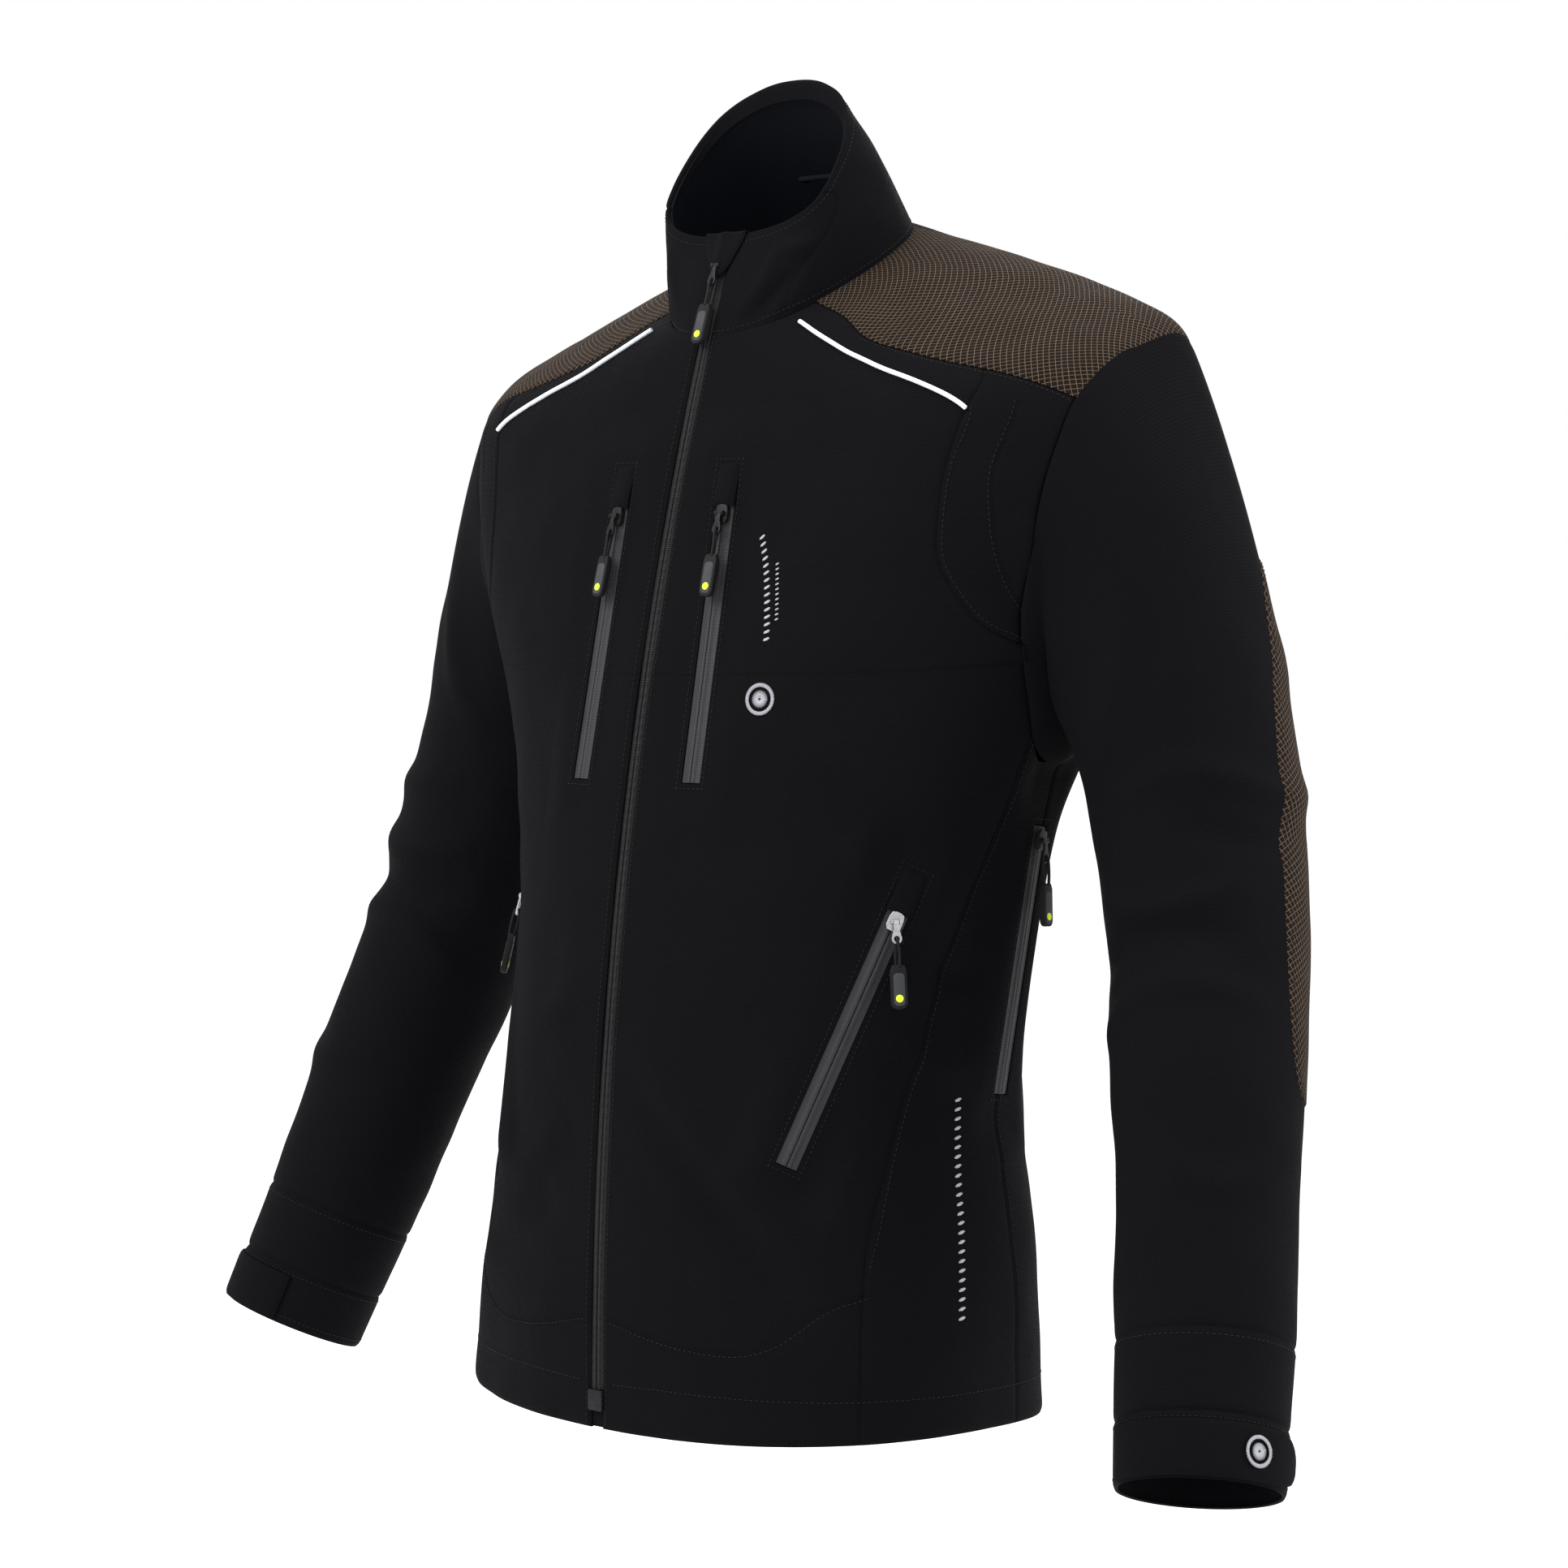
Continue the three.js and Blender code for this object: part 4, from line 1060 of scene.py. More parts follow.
def grooves(*paths, depth=0.0009, width=0.0014):
    def relief(points):
        drop = 0
        for path in paths:
            drop = np.maximum(drop, np.exp(-(routeDistance(points, path)[0] / width) ** 2))
        return -depth * drop
    return relief


def pathOn(sign, route, count=70, lift=0.0):
    path = smoothRoute(np.array(route, float), count)
    return bodySurface(sign * path[:, 0] * turn, path[:, 1], lift)


innerLine = [(53.3, 0.848), (50, 0.797), (51.4, 0.757), (56.3, 0.71), (64.4, 0.67), (75.2, 0.645)]
bagCurve = [(2.5, 0.081), (10, 0.073), (18.3, 0.068), (28.6, 0.067), (37.3, 0.076), (48, 0.101), (57, 0.112)]


def windowCutters(sign):
    made = []
    for zipper in zips:
        if zipper["sign"] == sign or sign == 0:
            half, low, high = zipSizes["window"], -zipper["length"] - 0.0006, 0.0006
            corners = [(x, y, z) for z in (-0.012, 0.012) for y in (low, high) for x in (-half, half)]
            faces = [(0, 2, 3, 1), (4, 5, 7, 6), (0, 1, 5, 4), (2, 6, 7, 3), (0, 4, 6, 2), (1, 3, 7, 5)]
            made.append(linked("window", meshOf("window", intoWorld(zipper["frame"], corners), faces)))
    return made


def evaluated(made):
    graph = bpy.context.evaluated_depsgraph_get()
    mesh = bpy.data.meshes.new_from_object(made.evaluated_get(graph), depsgraph=graph,
                                           preserve_all_data_layers=True)
    old = made.data
    made.modifiers.clear()
    made.data = mesh
    bpy.data.meshes.remove(old)
    return made


def cutWindows(made, cutters):
    for cutter in cutters:
        modifier = made.modifiers.new("window", "BOOLEAN")
        modifier.operation, modifier.solver, modifier.object = "DIFFERENCE", "MANIFOLD", cutter
    evaluated(made)
    made.data.set_sharp_from_angle(angle=50 * turn)
    return made


def makeBody():
    cutters = {sign: windowCutters(sign) for sign in (1, -1)}
    allCutters = cutters[1] + cutters[-1]
    columns = {"front": 190, "chest": 80, "side": 62, "back": 380}
    scale = 0.0021 / cloth["cell"]
    for side, sign in (("left", 1), ("right", -1)):
        inner = pathOn(sign, innerLine)
        bag = pathOn(sign, bagCurve)
        vs = levelsBetween(0, 1)
        phi, v = rowsPanel(frontEdge, frontRight, vs, columns["front"] * 0.55 * scale)
        front = bodyPanel(f"{side}_front", sign, phi, v, softshell, "softshell",
                          relief=grooves(bag, depth=0.0008))
        cutWindows(front, cutters[sign])
        place(front, root, f"{side}_front_panel")
        vs = levelsBetween(0.6262, 0.8855)
        phi, v = rowsPanel(lambda at: alongRoute(seams["swoop"], at), chestRight, vs,
                           columns["chest"] * scale * 0.6)
        chest = bodyPanel(f"{side}_chest_side", sign, phi, v, softshell, "softshell",
                          relief=grooves(inner, depth=0.0008))
        place(chest, root, f"{side}_front_panel")
        t = sharesOf(0.36)
        s = sharesOf(columns["side"] * 0.001 * scale * 0.6, 0.001)
        top = []
        for share in s:
            level = np.linspace(0.5, 0.66, 321)
            low, high = alongRoute(seams["princess"], level), alongRoute(seams["side"], level)
            p = bodyBase(low + (high - low) * share, level)
            top.append(level[np.argmax(p[:, 0] > armholeX(p[:, 2]))])
        v = t[:, None] * np.array(top)[None]
        low, high = alongRoute(seams["princess"], v), alongRoute(seams["side"], v)
        flank = bodyPanel(f"{side}_side", sign, low + (high - low) * s[None], v, softshell, "softshell",
                          sides=(1, 1, 1, 0.3))
        cutWindows(flank, cutters[sign][2:])
        place(flank, root, f"{side}_side_panel")
    vs = levelsBetween(0, 1, cloth["cell"] * 1.25)
    low = backRight(vs)
    t = sharesOf(0.001 * columns["back"] * scale * 0.55, 0.001)
    phi = low[:, None] + (2 * math.pi - 2 * low)[:, None] * t
    back = bodyPanel("back", 1, phi, np.repeat(vs[:, None], phi.shape[1], 1), softshell, "softshell")
    cutWindows(back, [cutters[1][2], cutters[-1][2]])
    place(back, root, "back_panel")
    for cutter in allCutters:
        mesh = cutter.data
        bpy.data.objects.remove(cutter)
        bpy.data.meshes.remove(mesh)
    print("body panels", flush=True)


# ---- yokes: grid cloth over each shoulder, lapping the head of the sleeve ---------------------------

def coons(bottom, top, left, right, s, t):
    s, t = s[None, :, None], t[:, None, None]
    grid = ((1 - t) * bottom[None] + t * top[None] + (1 - s) * left[:, None] + s * right[:, None]
            - (1 - s) * (1 - t) * bottom[0] - s * (1 - t) * bottom[-1]
            - (1 - s) * t * top[0] - s * t * top[-1])
    return grid


def resample(path, shares, measure):
    length = np.concatenate([[0], np.cumsum(np.linalg.norm(np.diff(measure, axis=0), axis=1))])
    return np.stack([np.interp(shares * length[-1], length, path[:, k]) for k in range(path.shape[1])], -1)


yoke = dict(lap=0.0022, narrow=0.0008, drop=0.0006, lift=0.0006)


def makeYokes():
    levels = np.linspace(0.8, 0.92, 600)
    ahead = levels[np.argmax(alongRoute(seams["yokeFront"], levels) < armFront(levels))]
    behind = levels[np.argmax(alongRoute(seams["yokeBack"], levels) > armBack(levels))]
    rise, fall = np.linspace(ahead, tipLevel, 120), np.linspace(tipLevel, behind, 120)
    arc = np.concatenate([np.stack([armholePhi(rise, 5 * turn), rise], -1),
                          np.stack([armholePhi(fall, 175 * turn), fall], -1)])
    s = sharesOf(0.24, cloth["cell"] * 1.2)
    t = sharesOf(0.15, cloth["cell"] * 1.2)
    bottom = resample(arc, s, bodyBase(arc[:, 0], arc[:, 1]))

    def seamPath(route, start):
        path = smoothRoute(np.array(route, float) * np.array([turn, 1]), 160)
        path = np.concatenate([start[None], path[(path[:, 1] > start[1] + 0.003) & (path[:, 1] < 0.995)]])
        path = np.concatenate([path, [[np.interp(1.0, *np.array(route, float)[-2:].T[::-1]) * turn, 1.0]]])
        return resample(path, t, bodyBase(path[:, 0], path[:, 1]))

    left, right = seamPath(seams["yokeFront"], bottom[0]), seamPath(seams["yokeBack"], bottom[-1])
    neck = np.linspace(left[-1], right[-1], 80)
    top = resample(neck, s, bodyBase(neck[:, 0], neck[:, 1]))
    grid = coons(bottom, top, left, right, s, t)
    for side, sign in (("left", 1), ("right", -1)):
        phi, level = grid[..., 0], np.clip(grid[..., 1], 0, 1)
        mirror = np.array([sign, 1, 1])
        points = bodySurface(sign * phi, level, yoke["lift"])
        whole = np.concatenate([overhang(points, s), points[2:]])
        if sign < 0:
            whole = whole[:, ::-1]
        normal = gridNormals(whole)
        whole = rolled(whole, normal, 0.0008, (1, 1, 0.6, 1))
        made = makeSheet(f"{side}_yoke", whole, gridCloth, "grid_cloth", thickness=0.0018,
                         uvs=lengthUvs(whole))
        place(made, root, f"{side}_shoulder_yoke")
    print("yokes", flush=True)


# The yoke's lower edge runs on past the armhole and drops a little over the sleeve.
def overhang(points, s):
    outward = unitRows(points[0] - points[5])
    for _ in range(60):
        outward[1:-1] = (outward[:-2] + outward[2:]) / 2
    full = smoothStep(0.0, 0.22, s) * (1 - smoothStep(0.78, 1.0, s))
    reach = (yoke["narrow"] + (yoke["lap"] - yoke["narrow"]) * full)[:, None]
    rows = []
    for step in (1, 0.5):
        drop = np.array([0, 0, yoke["drop"]]) * step ** 2 * full[:, None]
        rows.append(points[0] + outward * reach * step - drop)
    return np.array(rows)


# ---- collar: shell with a rolled rim, and a dark lining --------------------------------------------

collar = dict(
    roll=0.0014, liningDrop=0.985, gap=0.0028,
    seam=([0, 0.25, 0.45, 0.6, 0.8, 1], [41, 42, 50, 66, 80, 76]),
    # side, phi and level along the crease, height and width in millimetres
    creases=[(1, [(12, 0.10), (22, 0.36), (34, 0.72)], 2.6, 5),
             (1, [(22, 0.05), (34, 0.26), (48, 0.50)], -2.4, 4.5),
             (1, [(30, 0.80), (44, 0.66), (58, 0.62)], 2.0, 4.5),
             (-1, [(20, 0.20), (34, 0.46), (50, 0.76)], 2.2, 5)],
)


def collarEdge(w):
    ring = neckRing + (collarRim - neckRing) * np.asarray(w)[..., None]
    return np.arcsin((slotHalf / ring[..., 0]) ** (ring[..., 7] / 2))


def makeCollar():
    w = sharesOf(0.065, cloth["cell"] * 0.9) * 1.04 - 0.04
    low = collarEdge(np.maximum(w, 0))
    t = sharesOf(0.42, cloth["cell"] * 0.9)
    phi = low[:, None] + (2 * math.pi - 2 * low)[:, None] * t
    grid = collarSurface(phi, np.repeat(w[:, None], len(t), 1))
    normal = gridNormals(grid)
    grid = rolled(grid, normal, 0.0011, (1, 1, 0, 0))
    levels = np.linspace(0, 1, 60)
    route = smoothRoute(np.array(collar["seam"]).T, 60)
    seam = np.interp(levels, route[:, 0], route[:, 1]) * turn
    panelSeams = [collarSurface(sign * seam, levels) for sign in (1, -1)]
    grid = grid + normal * grooves(*panelSeams, depth=0.0009, width=0.0013)(grid)[..., None]
    rim, up = grid[-1], np.array([0, 0, 1.0])
    inward = -normal[-2]
    rollRows = []
    for angle in np.linspace(20, 160, 7) * turn:
        rollRows.append(rim + inward * collar["roll"] * (1 - math.cos(angle))
                        + up * collar["roll"] * math.sin(angle))
    down = [rim + inward * collar["roll"] * 2 - up * depth for depth in (0.002, 0.005, 0.009)]
    outer = np.concatenate([grid, np.array(rollRows), np.array(down)])
    made = makeSheet("collar", outer, softshell, "softshell", thickness=0.0014,
                     uvs=lengthUvs(outer))
    place(made, root, "collar_shell")
    w = sharesOf(0.065, cloth["cell"] * 1.3) * (collar["liningDrop"] + 0.04) - 0.04
    low = collarEdge(np.maximum(w, 0)) + 0.01
    phi = low[:, None] + (2 * math.pi - 2 * low)[:, None] * sharesOf(0.40, cloth["cell"] * 1.3)
    inside = collarSurface(phi, np.repeat(w[:, None], phi.shape[1], 1), -collar["gap"])
    made = makeSheet("collar_lining", inside, lining, "lining", thickness=0.0012)
    place(made, root, "collar_lining")


# A fold of cloth over the top of the zip, and the cloth behind its foot.
zipEnds = dict(foldLow=0.60, foldHalf=0.0155, foldTip=0.0035, footHigh=-0.598, footLow=-0.6345, footHalf=0.0085)


def makeZipEnds():
    w = np.linspace(zipEnds["foldLow"], 1.0, 30)
    half = zipEnds["foldTip"] + (zipEnds["foldHalf"] - zipEnds["foldTip"]) * np.linspace(0, 1, 30) ** 0.8
    x = np.linspace(-1, 1, 27)[None] * half[:, None]
    level = np.repeat(w[:, None], 27, 1)
    ring = neckRing + (collarRim - neckRing) * level[..., None]
    phi = np.arcsin((np.abs(x) / ring[..., 0]) ** (ring[..., 7] / 2)) * np.sign(x)
    grid = collarSurface(phi, level, 0.0021 + 0.0016 * np.exp(-(x / 0.004) ** 2))
    normal = gridNormals(grid)
    back = []
    for angle in np.linspace(25, 150, 6) * turn:
        back.append(grid[-1] - normal[-2] * 0.0034 * (1 - math.cos(angle))
                    + np.array([0, 0, 0.0030]) * math.sin(angle))
    whole = np.concatenate([rolled(grid, normal, 0.0010, (1, 1, 1, 0)), np.array(back)])
    place(makeSheet("zip_fold", whole, softshell, "softshell", thickness=0.0012), root)
    z = np.linspace(zipEnds["footLow"], zipEnds["footHigh"], 24)
    x = np.linspace(-zipEnds["footHalf"], zipEnds["footHalf"], 12)
    grid = np.stack([np.repeat(x[None], len(z), 0), np.repeat((frontY(z) + 0.0022)[:, None], len(x), 1),
                     np.repeat(z[:, None], len(x), 1)], -1)
    place(makeSheet("zip_foot", grid, softshell, "softshell", thickness=0.0010), root)


# ---- sleeves ---------------------------------------------------------------------------------

sleeve = dict(split=0.35, forearmSeam=0.865, cuffSeam=0.94, columns=0.34)


def sleeveRing(sign, s, lift=0.0, cell=None):
    psi = np.linspace(math.pi, 3 * math.pi, max(int(sleeve["columns"] / (cell or cloth["cell"] * 1.15)), 24),
                      endpoint=False)
    grid = sleeveSurface(sign, np.repeat(psi[None], len(s), 0), np.repeat(s[:, None], len(psi), 1), lift)
    return grid[:, ::-1] if sign < 0 else grid


def sleeveUvs(grid):
    around = np.linspace(0, sleeve["columns"], grid.shape[1])
    along = np.concatenate([[0], np.cumsum(np.linalg.norm(np.diff(grid, axis=0), axis=2).mean(1))])
    return np.stack(np.meshgrid(around, along), -1)


def sleeveAxis(sign, s):
    return readStations(sleeveRows, s)[:3] * np.array([sign, 1, 1])


def elbowSpan(sign):
    return tuple(sleeveAxis(sign, 0.36)), tuple(sleeveAxis(sign, 0.62))


# The sleeve's head bends between the armhole's plane and a plane just short of where it ends.
def shoulderSpan(sign, ending):
    lean = jacket["armholeLean"] / (tipZ - pitZ)
    outward = unit((sign, 0, -lean))
    start = np.array([sign * armholeX(armholeMiddle[2]), armholeMiddle[1], armholeMiddle[2]])
    return tuple(start + outward * 0.002), tuple(start + outward * (((ending - start) @ outward).min() - 0.001))


# Soften the top of the sleeve, and run its edge in under the armhole.
def easedHead(grid, s):
    weight = (0.5 * (1 - smoothStep(0.09, 0.17, s)))[1:-1, None, None]
    for _ in range(int(80 * (0.0024 / (cloth["cell"] * 1.15)) ** 2) + 2):
        grid[1:-1] += weight * ((grid[2:] + grid[:-2]) / 2 - grid[1:-1])
    return grid


def tucked(grid, sign):
    inward = unitRows(grid[0].mean(0) - grid[0]) * 0.0022 - np.array([sign * 0.0025, 0, 0])
    return np.concatenate([grid[:1] + inward * 1.6, grid[:1] + inward, grid])


def makeSleeves():
    cell = cloth["cell"] * 1.15
    for side, sign in (("left", 1), ("right", -1)):
        pieces = (
            ("head", 0.0, sleeve["split"]),
            ("middle", sleeve["split"], sleeve["forearmSeam"]),
            ("lower", sleeve["forearmSeam"], sleeve["cuffSeam"]),
            ("cuff", sleeve["cuffSeam"], 1.0),
        )
        made = {}
        for name, low, high in pieces:
            s = low + (high - low) * sharesOf((high - low) * 0.53, cell)
            grid = sleeveRing(sign, s)
            if name == "head":
                grid = easedHead(grid, s)
                ending = grid[-1].copy()
            normal = gridNormals(grid, True)
            length = np.concatenate([[0], np.cumsum(np.linalg.norm(np.diff(grid, axis=0), axis=2).mean(1))])
            drop = np.zeros(len(s))
            if name in ("head", "lower", "cuff"):
                drop = np.maximum(drop, np.exp(-(length / 0.0016) ** 1.4))
            if name in ("middle", "lower", "cuff"):
                drop = np.maximum(drop, np.exp(-((length[-1] - length) / 0.0016) ** 1.4))
            grid = grid - normal * ((0.0006 if name == "head" else 0.0011) * drop)[:, None, None]
            if name == "head":
                grid = tucked(grid, sign)
            made[name] = makeSheet(f"{side}_sleeve_{name}", grid, softshell, "softshell", isRing=True,
                                   uvs=sleeveUvs(grid))
        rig.blend(made["head"], root, f"{side}_arm", *shoulderSpan(sign, ending))
        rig.replaces(made["head"], f"{side}_upper_sleeve")
        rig.blend(made["middle"], f"{side}_arm", f"{side}_forearm", *elbowSpan(sign))
        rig.replaces(made["middle"], f"{side}_upper_sleeve", f"{side}_forearm_sleeve")
        place(made["lower"], f"{side}_forearm", f"{side}_forearm_sleeve")
        place(made["cuff"], f"{side}_forearm", f"{side}_cuff_band")
        makePatch(side, sign)
        makeTab(side, sign)
    print("sleeves", flush=True)


patch = dict(top=0.15, bottom=0.65, front=4, back=-126, lift=0.0009)


# The outline of an elbow patch narrows to both ends.
def patchAngles(s, share):
    t = (s - patch["top"]) / (patch["bottom"] - patch["top"])
    swell = np.sin(math.pi * np.clip(t, 0, 1)) ** 0.35
    middle = (patch["front"] + patch["back"]) / 2 + 8 * (t - 0.5)
    half = (patch["front"] - patch["back"]) / 2 * (0.45 + 0.55 * swell)
    return (middle + half * share) * turn


def makePatch(side, sign):
    s = patch["top"] + (patch["bottom"] - patch["top"]) * sharesOf(0.24, cloth["cell"] * 1.3)
    share = sharesOf(0.1, cloth["cell"] * 1.3) * 2 - 1
    psi = patchAngles(s[:, None], share[None])
    level = np.repeat(s[:, None], len(share), 1)
    grid = sleeveSurface(sign, psi, level, patch["lift"])
    if sign < 0:
        grid = grid[:, ::-1]
    grid = rolled(grid, gridNormals(grid), 0.0008)
    made = makeSheet(f"{side}_elbow_patch", grid, gridCloth, "grid_cloth", thickness=0.0014,
                     uvs=lengthUvs(grid))
    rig.blend(made, f"{side}_arm", f"{side}_forearm", *elbowSpan(sign))
    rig.replaces(made, f"{side}_elbow_patch_upper", f"{side}_elbow_patch_lower")


tab = dict(front=120, back=-40, low=0.948, high=0.998, lift=0.0026, corner=0.26)


def makeTab(side, sign):
    s = tab["low"] + (tab["high"] - tab["low"]) * sharesOf(0.026, cloth["cell"])
    t = sharesOf(0.13, cloth["cell"])
    middle, half = (tab["high"] + tab["low"]) / 2, (tab["high"] - tab["low"]) / 2
    rounded = np.sqrt(np.clip(1 - np.clip((tab["corner"] - t) / tab["corner"], 0, 1) ** 2, 0.06, 1))
    level = middle + (s[:, None] - middle) * np.where(t < tab["corner"], rounded, 1)[None]
    psi = (tab["back"] + (tab["front"] - tab["back"]) * t) * turn
    lift = tab["lift"] + 0.0012 * np.exp(-(t / 0.25) ** 2)
    grid = sleeveSurface(sign, np.repeat(psi[None], len(s), 0), level,
                         np.repeat(lift[None], len(s), 0))
    if sign < 0:
        grid = grid[:, ::-1]
    grid = rolled(grid, gridNormals(grid), 0.0009)
    made = makeSheet(f"{side}_tab", grid, reinforcement, "reinforcement", thickness=0.0018,
                     uvs=lengthUvs(grid))
    place(made, f"{side}_tab", f"{side}_cuff_tab")


# ---- sewn-in pieces: piping, hem band, guard, pocket bags, hang loop ------------------------------

def tube(name, path, radius, material, slotName, sides=10, flat=1.0, up=None):
    path = np.asarray(path, float)
    along = np.gradient(path, axis=0)
    along /= np.linalg.norm(along, axis=1, keepdims=True)
    up = np.broadcast_to(np.asarray(up if up is not None else (0, -1.0, 0.3), float), path.shape)
    across = np.cross(along, up)
    across /= np.linalg.norm(across, axis=1, keepdims=True)
    out = np.cross(across, along)
    turns = np.linspace(0, 2 * math.pi, sides, endpoint=False)
    ring = path[:, None] + radius * (np.cos(turns)[None, :, None] * across[:, None]
                                     + flat * np.sin(turns)[None, :, None] * out[:, None])
    count = len(path)
    points = np.concatenate([ring.reshape(-1, 3), path[:1], path[-1:]])
    index = np.arange(count * sides).reshape(count, sides)
    right = np.roll(index, -1, axis=1)
    quads = np.stack([index[:-1], right[:-1], right[1:], index[1:]], -1).reshape(-1, 4).tolist()
    first, last = count * sides, count * sides + 1
    caps = [[first, b, a] for a, b in zip(index[0].tolist(), right[0].tolist())]
    caps += [[last, a, b] for a, b in zip(index[-1].tolist(), right[-1].tolist())]
    if np.cross(ring[0, 1] - ring[0, 0], path[1] - path[0]) @ (ring[0, 0] - path[0]) < 0:
        quads, caps = ([face[::-1] for face in faces] for faces in (quads, caps))
    length = np.concatenate([[0], np.cumsum(np.linalg.norm(np.diff(path, axis=0), axis=1))])
    uvs = np.stack(np.meshgrid(turns * radius, length), -1).reshape(-1, 2)
    mesh = meshOf(name, points, quads + caps, np.concatenate([uvs, uvs[:1], uvs[-1:]]))
    return dressed(name, mesh, material, slotName, 60)


pipingPlan = dict(route=[(39.5, 0.985), (36.5, 0.959), (35.8, 0.926), (37, 0.896), (43.6, 0.851)],
                  radius=0.0013, lift=0.0011)


def makePiping():
    for side, sign in (("left", 1), ("right", -1)):
        path = pathOn(sign, pipingPlan["route"], 60, pipingPlan["lift"])
        made = tube(f"{side}_piping", path, pipingPlan["radius"], piping, "piping", 12)
        place(made, root, f"{side}_piping")


inner = dict(depth=0.0042, bag=0.0046, guardHalf=0.014)


def innerSheet(name, sign, phis, levels, depth, node, material=lining):
    phi = np.linspace(*phis, int(abs(phis[1] - phis[0]) * 0.0032 / cloth["cell"] / 1.6) + 4) * turn * sign
    v = np.linspace(*levels, int(abs(levels[1] - levels[0]) * 0.66 / cloth["cell"] / 1.6) + 3)
    if sign < 0:
        phi = phi[::-1]
    grid = bodySurface(np.repeat(phi[None], len(v), 0), np.repeat(v[:, None], len(phi), 1), -depth)
    made = makeSheet(name, grid, material, "lining", thickness=0.0010)
    place(made, root, node)


def makeInner():
    edge = float(frontEdge(np.array(0.02))) / turn + 0.3
    innerSheet("hem_facing", 1, (edge, 360 - edge), (0.004, 0.045), inner["depth"], "hem_band")
    for side, sign in (("left", 1), ("right", -1)):
        innerSheet(f"{side}_chest_bag", sign, (19, 41), (0.54, 0.76), inner["bag"], f"{side}_chest_pocket_bag")
        innerSheet(f"{side}_hand_bag", sign, (10, 33), (0.07, 0.40), inner["bag"], f"{side}_hand_pocket_bag")
    z = np.linspace(-0.595, -0.04, 120)
    x = np.linspace(inner["guardHalf"], -inner["guardHalf"], 12)
    grid = np.stack([np.repeat(x[None], len(z), 0), np.repeat((frontY(z) + 0.0046)[:, None], len(x), 1),
                     np.repeat(z[:, None], len(x), 1)], -1)
    made = makeSheet("guard", grid[:, ::-1], lining, "lining", thickness=0.0012)
    place(made, root, "zip_guard")
    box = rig.box("hang_loop")
    low, high = np.array(box[0]), np.array(box[1])
    legs, front = high[1] - 0.0008, low[1] + 0.002
    half = high[0] - 0.006
    middle = (low[2] + high[2]) / 2
    path = smoothRoute([(-half, legs, middle), (-half + 0.001, front + 0.004, middle), (-half * 0.8, front, middle),
                        (0, front - 0.0002, middle), (half * 0.8, front, middle),
                        (half - 0.001, front + 0.004, middle), (half, legs, middle)], 60)
    made = tube("hang_loop_cord", path, 0.0016, lining, "lining", 12, up=(0, 0, 1.0))
    place(made, root, "hang_loop")
    print("inner pieces", flush=True)


# ---- zips --------------------------------------------------------------------------------------

def outlineSolid(outline, low, high, bevel=0.0003, segments=2):
    form = bmesh.new()
    face = form.faces.new([form.verts.new((x, y, low)) for x, y in outline])
    made = bmesh.ops.extrude_face_region(form, geom=[face])
    bmesh.ops.translate(form, vec=(0, 0, high - low),
                        verts=[v for v in made["geom"] if isinstance(v, bmesh.types.BMVert)])
    bmesh.ops.recalc_face_normals(form, faces=form.faces[:])
    if bevel:
        sharp = [edge for edge in form.edges if edge.calc_face_angle(0) > 0.6]
        bmesh.ops.bevel(form, geom=sharp, offset=bevel, segments=segments, affect="EDGES", profile=0.6,
                        clamp_overlap=True)
    return form


def fromForm(name, form, matrix, material, slotName):
    form.transform(Matrix(np.asarray(matrix).tolist()))
    mesh = bpy.data.meshes.new(name)
    form.to_mesh(mesh)
    form.free()
    return dressed(name, mesh, material, slotName, 35)


def rectangle(x0, x1, y0, y1):
    return [(x0, y0), (x1, y0), (x1, y1), (x0, y1)]


def roundedOutline(half, low, high, corner, steps=6, waist=0.0):
    points = []
    for cx, cy, start in ((half - corner, low + corner, -90), (half - corner, high - corner, 0),
                          (-half + corner, high - corner, 90), (-half + corner, low + corner, 180)):
        for k in range(steps + 1):
            a = (start + 90 * k / steps) * turn
            points.append((cx + corner * math.cos(a), cy + corner * math.sin(a)))
    return points


def circleOutline(radius, x=0, y=0, count=24):
    return [(x + radius * math.cos(a), y + radius * math.sin(a))
            for a in np.linspace(0, 2 * math.pi, count, endpoint=False)]


def sweepProfile(name, profile, frames, material, slotName):
    profile = np.asarray(profile, float)
    rings = np.array([m[:3, 3] + profile[:, :1] * m[:3, 0] + profile[:, 1:] * m[:3, 2] for m in frames])
    sides, count = len(profile), len(frames)
    index = np.arange(count * sides).reshape(count, sides)
    right = np.roll(index, -1, axis=1)
    faces = np.stack([index[:-1], index[1:], right[1:], right[:-1]], -1).reshape(-1, 4).tolist()
    faces += [index[0].tolist(), index[-1][::-1].tolist()]
    around = np.concatenate([[0], np.cumsum(np.linalg.norm(np.diff(profile, axis=0), axis=1))])
    along = np.concatenate([[0], np.cumsum(np.linalg.norm(np.diff(rings[:, 0], axis=0), axis=1))])
    uvs = np.stack(np.meshgrid(around, along), -1).reshape(-1, 2).astype(np.float32)
    mesh = meshOf(name, rings.reshape(-1, 3), faces, uvs)
    form = bmesh.new()
    form.from_mesh(mesh)
    bmesh.ops.recalc_face_normals(form, faces=form.faces[:])
    form.to_mesh(mesh)
    form.free()
    return dressed(name, mesh, material, slotName, 35)


# Half the section of a tape: x across, z out; the coil swells under the coating at the middle.
tapeHalf = [(0.00012, -0.0012), (0.0062, -0.0012), (0.0062, -0.0001), (0.0058, 0.0), (0.0035, 0.00005),
            (0.0029, 0.0004), (0.0023, 0.0009), (0.0016, 0.0012), (0.0009, 0.0012), (0.0003, 0.0009),
            (0.00012, 0.0003)]


